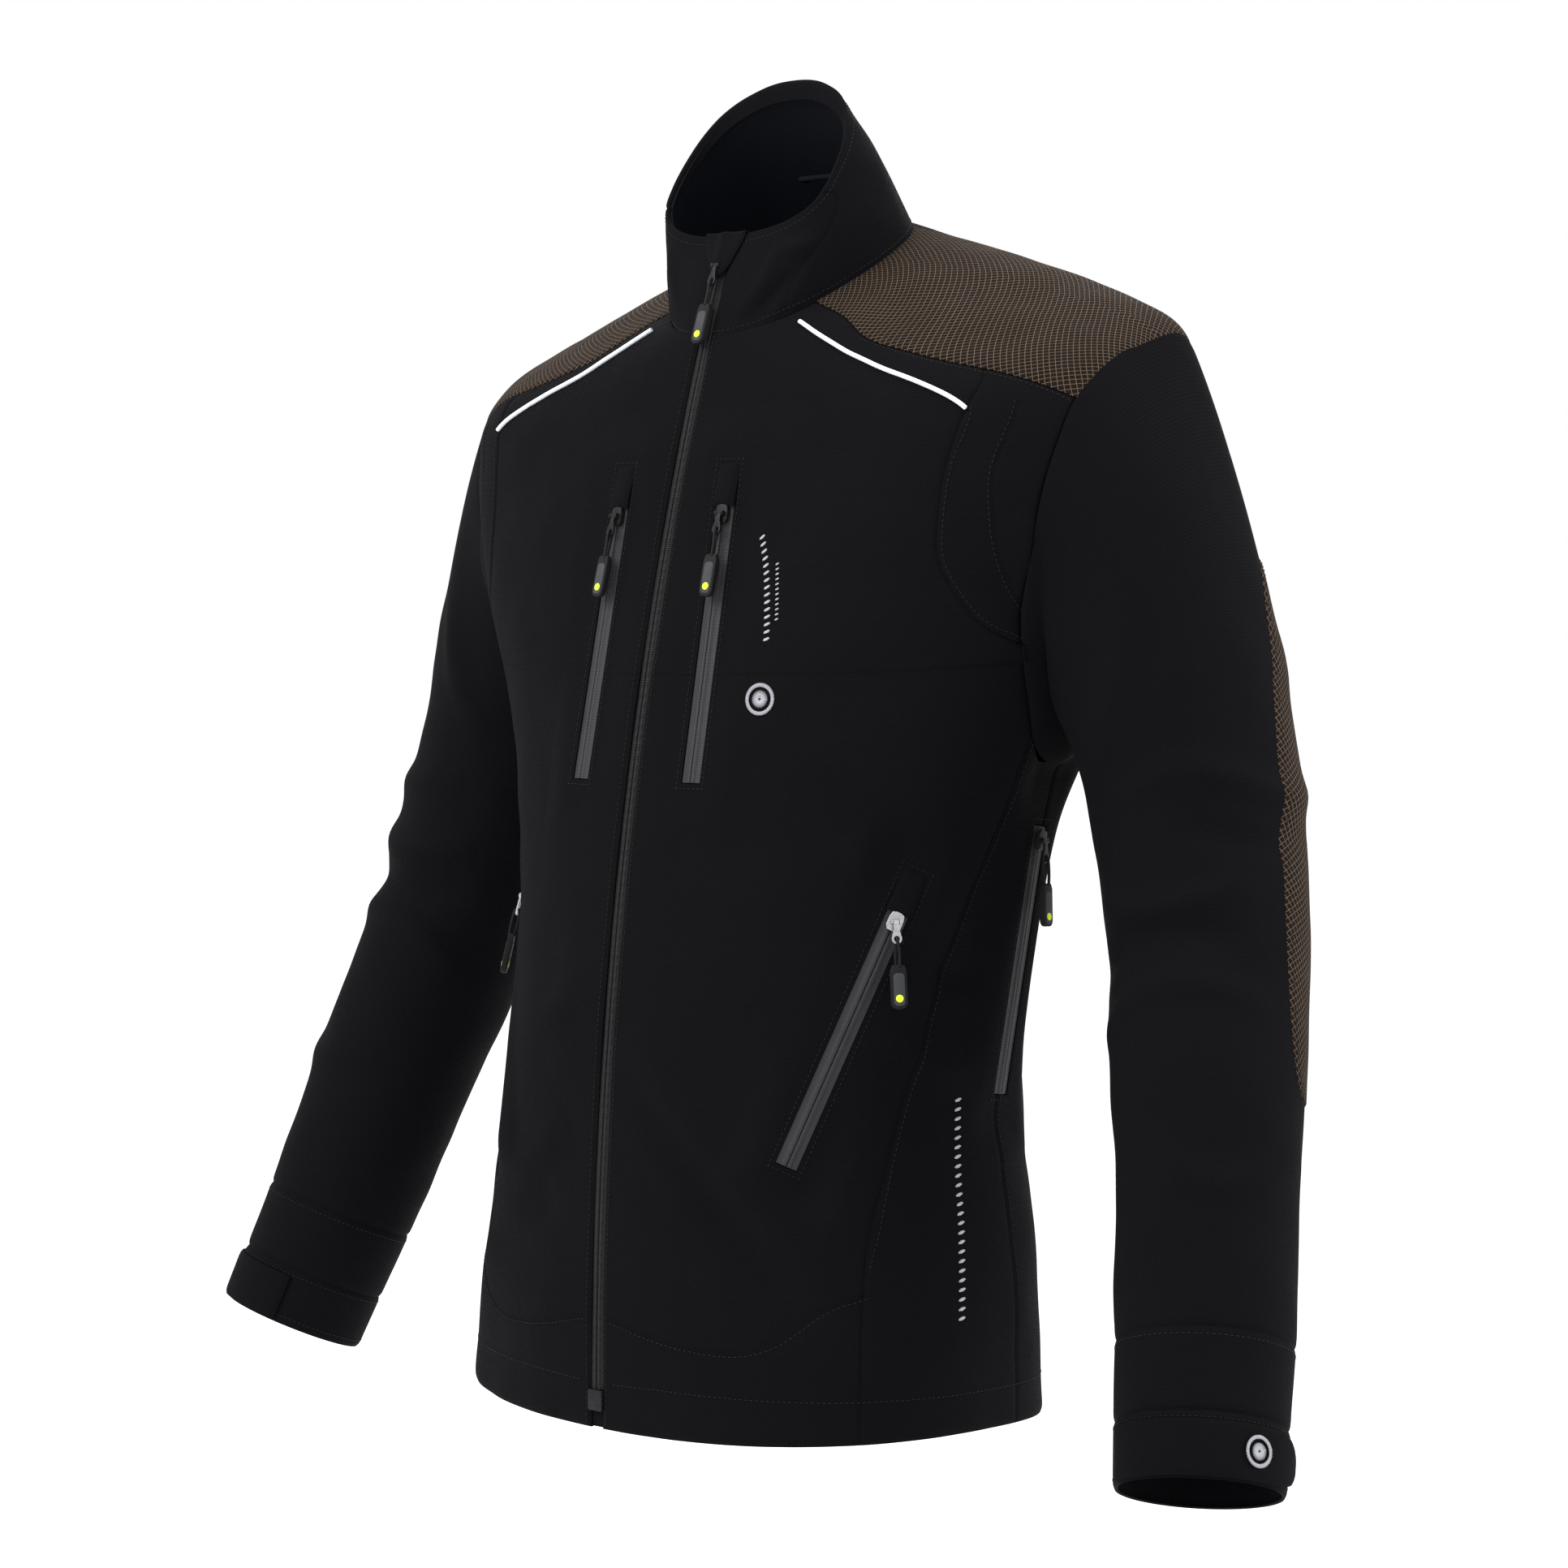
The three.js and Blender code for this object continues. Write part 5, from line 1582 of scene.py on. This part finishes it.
def straightFrames(matrix, start, end, count):
    frames = []
    for y in np.linspace(start, end, count):
        each = matrix.copy()
        each[:3, 3] = matrix[:3, 3] + matrix[:3, 1] * y
        frames.append(each)
    return frames


def metalOf(metal):
    return (silverMetal, "silver_metal") if metal == "silver" else (blackMetal, "black_metal")


def makeSlider(name, frame4, hanging, metal, body, node, fixedEye):
    material, slotName = metalOf(metal)
    saddle = [(-0.0030, -0.0055), (0.0030, -0.0055), (0.0043, -0.0030), (0.0043, 0.0015), (0.0036, 0.0046),
              (0.0012, 0.0055), (-0.0012, 0.0055), (-0.0036, 0.0046), (-0.0043, 0.0015), (-0.0043, -0.0030)]
    pieces = [fromForm(name, outlineSolid(saddle, 0.0018, 0.0033, 0.0005, 3), frame4, material, slotName)]
    for sign in (1, -1):
        wall = [(sign * x, y) for x, y in ((0.0026, -0.0054), (0.0042, -0.0030), (0.0042, 0.0016),
                                           (0.0036, 0.0044), (0.0026, 0.0044))]
        pieces.append(fromForm(name, outlineSolid(wall, 0.0004, 0.0020, 0.0003), frame4, material, slotName))
        ear = Matrix(np.asarray(hanging).tolist()) @ Matrix(((0, 0, 1, 0), (1, 0, 0, 0), (0, 1, 0, 0), (0, 0, 0, 1)))
        x = 0.0018 * sign + (0 if sign > 0 else -0.0010)
        form = outlineSolid(roundedOutline(0.0014, -0.0020, 0.0011, 0.0010), x, x + 0.0010, 0.0002)
        pieces.append(fromForm(name, form, np.array(ear), material, slotName))
    if fixedEye:
        bridge = outlineSolid(rectangle(-0.0027, 0.0027, -0.0012, 0.0012), -0.0007, 0.0009, 0.0003)
        pieces.append(fromForm(name, bridge, hanging, material, slotName))
        pieces.append(makePullerPlate(name, hanging, material, slotName))
    made = joinInto(name, pieces)
    place(made, body, node)


# A flat plate hanging from its pin, with a round eye near its end.
def makePullerPlate(name, hanging, material, slotName):
    reach, eye, hole = zipSizes["reach"], 0.0029, 0.00155
    half = 0.0015
    outer = [(-half, 0.0008), (-half, -0.004)]
    for a in np.linspace(160, 380, 22) * turn:
        outer.append((eye * math.cos(a), -reach + eye * math.sin(a)))
    outer += [(half, -0.004), (half, 0.0008)]
    inside = [(hole * math.cos(a), -reach + hole * math.sin(a))
              for a in np.linspace(90, 450, len(outer), endpoint=False) * turn]
    form = bmesh.new()
    rings = []
    for ring in (outer, inside):
        for z in (-0.0007, 0.0007):
            rings.append([form.verts.new((x, y, z)) for x, y in ring])
    count = len(outer)
    for k in range(count):
        n = (k + 1) % count
        form.faces.new((rings[1][k], rings[1][n], rings[3][n], rings[3][k]))
        form.faces.new((rings[0][n], rings[0][k], rings[2][k], rings[2][n]))
        form.faces.new((rings[0][k], rings[0][n], rings[1][n], rings[1][k]))
        form.faces.new((rings[2][n], rings[2][k], rings[3][k], rings[3][n]))
    bmesh.ops.recalc_face_normals(form, faces=form.faces[:])
    sharp = [edge for edge in form.edges if edge.calc_face_angle(0) > 1.0]
    bmesh.ops.bevel(form, geom=sharp, offset=0.00022, segments=2, affect="EDGES", profile=0.6)
    return fromForm(name, form, hanging, material, slotName)


def makePuller(prefix, hanging, metal, body, node):
    material, slotName = metalOf(metal)
    plate = makePullerPlate(f"{prefix}_puller", hanging, material, slotName)
    path = np.array([(x, 0, 0) for x in np.linspace(-0.0015, 0.0015, 5)])
    pin = tube("pin", intoWorld(hanging, path), 0.0010, material, slotName, 12, up=hanging[:3, 2])
    place(joinInto(f"{prefix}_puller_piece", [plate, pin]), body, node)


pull = dict(cord=0.00088, cordLength=0.016, tabHalf=0.0045, tabLength=0.024, tabThick=0.0017,
            inset=0.0031, disc=0.0021)


def makePull(prefix, hanging, body, node):
    eye = hanging.copy()
    eye[:3, 3] = hanging[:3, 3] - hanging[:3, 1] * zipSizes["reach"]
    top = -pull["cordLength"] + 0.0015
    path = smoothRoute([(0.0007, top - 0.001, 0.0015), (0.0008, top + 0.006, 0.0017), (0.0003, -0.0025, 0.0017),
                        (0, 0.0002, 0.0012), (0, 0.0008, 0.0), (0, 0.0002, -0.0012),
                        (-0.0003, -0.0025, -0.0017), (-0.0008, top + 0.006, -0.0017),
                        (-0.0007, top - 0.001, -0.0015)], 70)
    cordPiece = tube(f"{prefix}_cord", intoWorld(eye, path), pull["cord"], pullRubber, "pull_rubber", 10,
                     up=eye[:3, 0])
    half, low, corner = pull["tabHalf"], top - pull["tabLength"], 0.0035
    outline = [(half * 0.72, top), (-half * 0.72, top), (-half * 0.98, top - 0.003), (-half, top - 0.008)]
    for a in np.linspace(180, 270, 9) * turn:
        outline.append((-half + corner + corner * math.cos(a), low + corner + corner * math.sin(a)))
    for a in np.linspace(270, 360, 9) * turn:
        outline.append((half - corner + corner * math.cos(a), low + corner + corner * math.sin(a)))
    outline += [(half, top - 0.008), (half * 0.98, top - 0.003)]
    tabPiece = fromForm(f"{prefix}_tab", outlineSolid(outline, -pull["tabThick"], pull["tabThick"], 0.0006, 3),
                        eye, pullRubber, "pull_rubber")
    pieces = [cordPiece, tabPiece]
    thick = pull["tabThick"]
    for sign in (1, -1):
        back, face = sorted((sign * (thick - 0.0004), sign * (thick + 0.00025)))
        form = outlineSolid(roundedOutline(pull["inset"], low + 0.0016, top - 0.0045, 0.0022), back, face, 0.0002)
        pieces.append(fromForm("inset", form, eye, tabInset, "pull_rubber"))
        back, face = sorted((sign * thick, sign * (thick + 0.0005)))
        form = outlineSolid(circleOutline(pull["disc"], 0, low + 0.0055), back, face, 0.00015)
        pieces.append(fromForm("disc", form, eye, lime, "pull_rubber"))
    place(joinInto(f"{prefix}_pull_piece", pieces), body, node)


garage = dict(high=0.022, low=-0.003, half=0.0076)


def makeGarage(zipper):
    frame4, name = zipper["frame"], zipper["prefix"]
    rows = np.linspace(garage["low"], garage["high"], 16)
    cols = np.linspace(-garage["half"], garage["half"], 12)
    x, y = np.meshgrid(cols, rows)
    lift = 0.0031 - 0.0016 * smoothStep(0.002, 0.020, y) + 0.0006 * (1 - (x / garage["half"]) ** 2)
    grid = intoWorld(frame4, np.stack([x, y, lift], -1))
    grid = rolled(grid, gridNormals(grid), 0.0012)
    made = makeSheet(f"{name}_garage", grid, softshell, "softshell", thickness=0.0022)
    place(made, root, f"{zipper['side']}_front_panel")


def makeSideZips():
    for zipper in zips:
        prefix, frame4 = zipper["prefix"], zipper["frame"]
        profile = np.array(tapeHalf)
        frames = straightFrames(frame4, 0, -zipper["length"], 30)
        halves = [sweepProfile(f"{prefix}_tape", profile * np.array([sign, 1]), frames, zipTape, "zip_tape")
                  for sign in (1, -1)]
        place(joinInto(f"{prefix}_tape_piece", halves), root, f"{prefix}_zip_tape")
        slider = frame4.copy()
        slider[:3, 3] = frame4[:3, 3] - frame4[:3, 1] * zipSizes["inset"]
        fixedEye = zipper["kind"] == "vent"
        makeSlider(f"{prefix}_slider_piece", slider, zipper["hanging"], zipper["metal"],
                   f"{prefix}_slider", f"{prefix}_zip_slider", fixedEye)
        if not fixedEye:
            makePuller(prefix, zipper["hanging"], zipper["metal"], f"{prefix}_puller", f"{prefix}_zip_puller")
            makeGarage(zipper)
        makePull(prefix, zipper["hanging"], f"{prefix}_pull", f"{prefix}_zip_pull")
    print("side zips", flush=True)


mainZip = dict(top=collarRimZ - 0.010, bottom=-jacket["length"] + 0.022, sink=0.0019)


def arcFrame(z, sink=None):
    y = float(frontY(z))
    out = unit([0, y - arcY, z - arcZ])
    across = np.array([1.0, 0, 0])
    up = np.cross(out, across)
    return basis(across, up, out, np.array([0, y, z]) - out * (mainZip["sink"] if sink is None else sink))


def makeMainZip():
    frames = [arcFrame(z) for z in np.linspace(mainZip["bottom"], mainZip["top"], 110)]
    profile = np.array([(0.00015, -0.0012), (0.0062, -0.0012), (0.0062, 0.0), (0.0036, 0.0001),
                        (0.0030, 0.0007), (0.0022, 0.0011), (0.0012, 0.0012), (0.0005, 0.0010),
                        (0.00015, 0.0005)])
    for side, sign in (("left", 1), ("right", -1)):
        made = sweepProfile(f"main_{side}_tape", profile * np.array([sign, 1]), frames, mainTape, "zip_tape")
        place(made, root, f"main_zip_{side}_tape")
    low = arcFrame(mainZip["bottom"] - 0.0062, 0.001)
    form = outlineSolid(roundedOutline(0.0055, -0.0058, 0.0058, 0.0012), -0.0012, 0.0020, 0.0005, 3)
    place(fromForm("main_box", form, low, blackMetal, "black_metal"), root, "main_zip_box")
    slider = arcFrame(mainZip["top"] - zipSizes["inset"], 0.001)
    hanging = hangingFrame("main")
    makeSlider("main_slider_piece", slider, hanging, "black", "main_slider", "main_zip_slider", False)
    makePuller("main", hanging, "black", "main_puller", "main_zip_puller")
    makePull("main", hanging, "main_pull", "main_zip_pull")
    print("main zip", flush=True)


# ---- repeats: one node tree lays a form along a route, as stitches and as coil turns --------------

def repeatTree():
    group = bpy.data.node_groups.new("repeat", "GeometryNodeTree")
    face = group.interface
    face.new_socket("Geometry", in_out="INPUT", socket_type="NodeSocketGeometry")
    for name, kind in (("Pitch", "NodeSocketFloat"), ("Length", "NodeSocketFloat"),
                       ("Width", "NodeSocketFloat"), ("Height", "NodeSocketFloat"), ("Turn", "NodeSocketFloat"),
                       ("Finish", "NodeSocketMaterial")):
        face.new_socket(name, in_out="INPUT", socket_type=kind)
    face.new_socket("Geometry", in_out="OUTPUT", socket_type="NodeSocketGeometry")
    tree = Tree(group)
    given = group.nodes.new("NodeGroupInput")
    values = {socket.name: Value(tree, socket) for socket in given.outputs}
    curve = tree.node("GeometryNodeMeshToCurve", None, values["Geometry"])
    spaced = tree.node("GeometryNodeResampleCurve", {"mode": "LENGTH"}, Curve=curve, Length=values["Pitch"])
    tangent = tree.node("GeometryNodeInputTangent")
    out = tree.node("GeometryNodeInputNamedAttribute", {"data_type": "FLOAT_VECTOR"}, "out")
    first = tree.node("FunctionNodeAlignEulerToVector", {"axis": "X"}, Vector=tangent)
    second = tree.node("FunctionNodeAlignEulerToVector", {"axis": "Z", "pivot_axis": "X"}, first, Vector=out)
    form = tree.node("GeometryNodeMeshIcoSphere", None, 0.5, 1)
    size = tree.node("ShaderNodeCombineXYZ", None, values["Length"], values["Width"], values["Height"])
    spin = tree.node("ShaderNodeCombineXYZ", None, 0.0, 0.0, values["Turn"])
    shaped = tree.node("GeometryNodeTransform", None, form, Scale=size)
    turned = tree.node("GeometryNodeTransform", None, shaped, Rotation=spin)
    laid = tree.node("GeometryNodeInstanceOnPoints", None, Points=spaced, Instance=turned, Rotation=second)
    real = tree.node("GeometryNodeRealizeInstances", None, laid)
    coloured = tree.node("GeometryNodeSetMaterial", None, real, Material=values["Finish"])
    result = group.nodes.new("NodeGroupOutput")
    group.links.new(coloured.socket, result.inputs[0])
    return group


repeater = repeatTree()


def repeatAlong(name, routes, material, pitch, length, width, height, spin=0.0):
    points, edges, outs = [], [], []
    for route, out in routes:
        start = sum(len(p) for p in points)
        points.append(route)
        outs.append(np.broadcast_to(out, route.shape))
        edges += [(start + k, start + k + 1) for k in range(len(route) - 1)]
    mesh = bpy.data.meshes.new(name)
    mesh.from_pydata(np.concatenate(points).tolist(), edges, [])
    mesh.attributes.new("out", "FLOAT_VECTOR", "POINT").data.foreach_set(
        "vector", np.concatenate(outs).astype(np.float32).ravel())
    made = linked(name, mesh)
    modifier = made.modifiers.new("repeat", "NODES")
    modifier.node_group = repeater
    for item in repeater.interface.items_tree:
        if item.in_out == "INPUT" and item.name != "Geometry":
            modifier[item.identifier] = {"Pitch": pitch, "Length": length, "Width": width, "Height": height,
                                         "Turn": spin, "Finish": material}[item.name]
    evaluated(made)
    made.data.shade_smooth()
    return made


stitch = dict(pitch=0.0031, length=0.0023, width=0.00042, height=0.00045, lift=0.0001)


def stitchAlong(name, routes):
    return repeatAlong(name, routes, blackThread, stitch["pitch"], stitch["length"], stitch["width"],
                       stitch["height"])


def surfaceRoute(sign, route, lift=None, count=80):
    path = smoothRoute(np.array(route, float), count)
    phi, v = sign * path[:, 0] * turn, path[:, 1]
    return bodySurface(phi, v, stitch["lift"] if lift is None else lift), normalOf(bodyBase, phi, v)


def offsetRoute(sign, route, shift, count=120):
    points, normal = surfaceRoute(sign, route, None, count)
    along = np.gradient(points, axis=0)
    across = np.cross(along, normal)
    across /= np.linalg.norm(across, axis=1, keepdims=True)
    moved = points + across * shift * sign
    return moved, normal


def boxRoute(zipper, half, low, high, z=0.0009):
    corners = [(-half, low), (half, low), (half, high), (-half, high), (-half, low)]
    local = np.concatenate([np.linspace((a[0], a[1], z), (b[0], b[1], z), 30)
                            for a, b in zip(corners[:-1], corners[1:])])
    return intoWorld(zipper["frame"], local), zipper["frame"][:3, 2]


def makeStitches():
    body = []
    for sign in (1, -1):
        body.append(offsetRoute(sign, seams["princess"][1:-1], 0.0028))
        body.append(offsetRoute(sign, seams["swoop"][1:-1], 0.0030))
        body.append(offsetRoute(sign, innerLine, 0.0022))
        body.append(offsetRoute(sign, bagCurve, 0.0020))
        body.append(offsetRoute(sign, seams["yokeFront"][1:-2], -0.0030))
        body.append(offsetRoute(sign, seams["side"][1:-1], 0.0028))
        body.append(surfaceRoute(sign, [(3, 0.034), (15, 0.035), (54, 0.032), (90, 0.030), (140, 0.030),
                                        (180, 0.030)], None, 220))
        v = np.linspace(0.005, 0.995, 260)
        ring = readStations(stations, v)
        phi = np.arcsin(((slotHalf + 0.0030) / ring[..., 0]) ** (ring[..., 7] / 2)) * sign
        body.append((bodySurface(phi, v, stitch["lift"]), normalOf(bodyBase, phi, v)))
    for zipper in zips:
        if zipper["kind"] != "vent":
            body.append(boxRoute(zipper, 0.0092, -zipper["length"] - 0.0034, garage["high"] + 0.002))
        else:
            body.append(boxRoute(zipper, 0.0092, -zipper["length"] - 0.0034, 0.004))
    stitches = stitchAlong("body_stitches", body)
    place(stitches, root)
    rim = []
    for level in (0.93, 0.035):
        phi = np.linspace(float(collarEdge(level)) + 0.03, 2 * math.pi - float(collarEdge(level)) - 0.03, 260)
        w = np.full(phi.shape, level)
        points = collarSurface(phi, w, stitch["lift"])
        rim.append((points, unitRows(points - collarSurface(phi, w, -0.001))))
    place(stitchAlong("collar_stitches", rim), root)
    for side, sign in (("left", 1), ("right", -1)):
        rings = []
        for s in (sleeve["forearmSeam"] + 0.007, sleeve["cuffSeam"] + 0.006, 0.992):
            psi = np.linspace(0, 2 * math.pi, 120)
            share = np.full(psi.shape, s)
            points = sleeveSurface(sign, psi, share, stitch["lift"])
            rings.append((points, unitRows(points - sleeveSurface(sign, psi, share, -0.001))))
        place(stitchAlong(f"{side}_cuff_stitches", rings), f"{side}_forearm")
        loop = []
        for s, share in [(np.linspace(patch["top"], patch["bottom"], 120)[1:-1], k) for k in (-0.93, 0.93)]:
            psi = patchAngles(s, share)
            points = sleeveSurface(sign, psi, s, patch["lift"] + 0.0001)
            loop.append((points, unitRows(points - sleeveSurface(sign, psi, s, -0.001))))
        made = stitchAlong(f"{side}_patch_stitches", loop)
        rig.blend(made, f"{side}_arm", f"{side}_forearm", *elbowSpan(sign))
    coil = []
    z = np.linspace(mainZip["bottom"], mainZip["top"], 200)
    for x, spin in ((0.0017, 0.25), (-0.0017, -0.25)):
        frames = [arcFrame(each) for each in z]
        points = np.array([m[:3, 3] + m[:3, 0] * x + m[:3, 2] * 0.0011 for m in frames])
        coil.append((points, np.array([m[:3, 2] for m in frames])))
    place(repeatAlong("main_coil", coil, zipCoil, 0.00135, 0.0009, 0.0030, 0.0007), root)
    print("stitches", flush=True)


# ---- plain embroidery: rows of satin bars, and a ring round a dot --------------------------------

def satinRing(name, centre, normal, up, radius, body):
    across = unit(np.cross(up, normal))
    up = np.cross(normal, across)
    routes = []
    for size in (radius * 0.86, radius * 0.30):
        a = np.linspace(0, 2 * math.pi, 60)[:, None]
        routes.append((centre + size * (np.cos(a) * across + np.sin(a) * up), normal))
    outer = repeatAlong(name, routes[:1], greyThread, 0.0005, 0.00055, radius * 0.30, 0.0005)
    core = repeatAlong(name, routes[1:], greyThread, 0.0005, 0.00055, radius * 0.56, 0.0005)
    place(joinInto(name, [outer, core]), body)


embroidery = dict(
    bars=((1, [(13.6, 0.748), (15.9, 0.712), (18.9, 0.655)], 0.0039, 0.0052, 0.0018),
          (1, [(17.2, 0.722), (19.6, 0.672)], 0.0026, 0.0030, 0.0011),
          (1, [(83.2, 0.270), (82.3, 0.18), (80.8, 0.088)], 0.0052, 0.0060, 0.0021)),
    ring=((21.4, 0.605), 0.0092), cuff=((14, 0.972), 0.0085),
)


def makeEmbroidery():
    made = []
    for sign, route, pitch, wide, thick in embroidery["bars"]:
        made.append(repeatAlong("bars", [surfaceRoute(sign, route, 0.0001)], greyThread, pitch, thick, wide,
                                0.0006, 0.35))
    place(joinInto("bars", made), root)
    (phi, v), radius = embroidery["ring"]
    centre = bodySurface(np.array([phi * turn]), np.array([v]), 0.0002)[0]
    satinRing("chest_ring", centre, normalOf(bodyBase, np.array([phi * turn]), np.array([v]))[0],
              np.array([0, 0, 1.0]), radius, root)
    (psi, share), radius = embroidery["cuff"]
    for side, sign in (("left", 1), ("right", -1)):
        psis, shares = np.array([psi * turn]), np.array([share])
        centre = sleeveSurface(sign, psis, shares, tab["lift"] + 0.0012)[0]
        normal = unit(centre - sleeveSurface(sign, psis, shares, 0.0)[0])
        satinRing(f"{side}_cuff_ring", centre, normal, np.array([0, 0, 1.0]), radius, f"{side}_tab")
    print("embroidery", flush=True)


# ---- all of it ---------------------------------------------------------------------------------

makeStudio()
makeBody()
makeYokes()
makeCollar()
makeZipEnds()
makeSleeves()
makePiping()
makeInner()
makeSideZips()
makeMainZip()
makeStitches()
makeEmbroidery()

endBox = [[float(value) for value in corner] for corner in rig.bounds()]
with open("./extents.json", "w") as out:
    json.dump({"cad": cadBox, "finished": endBox}, out)
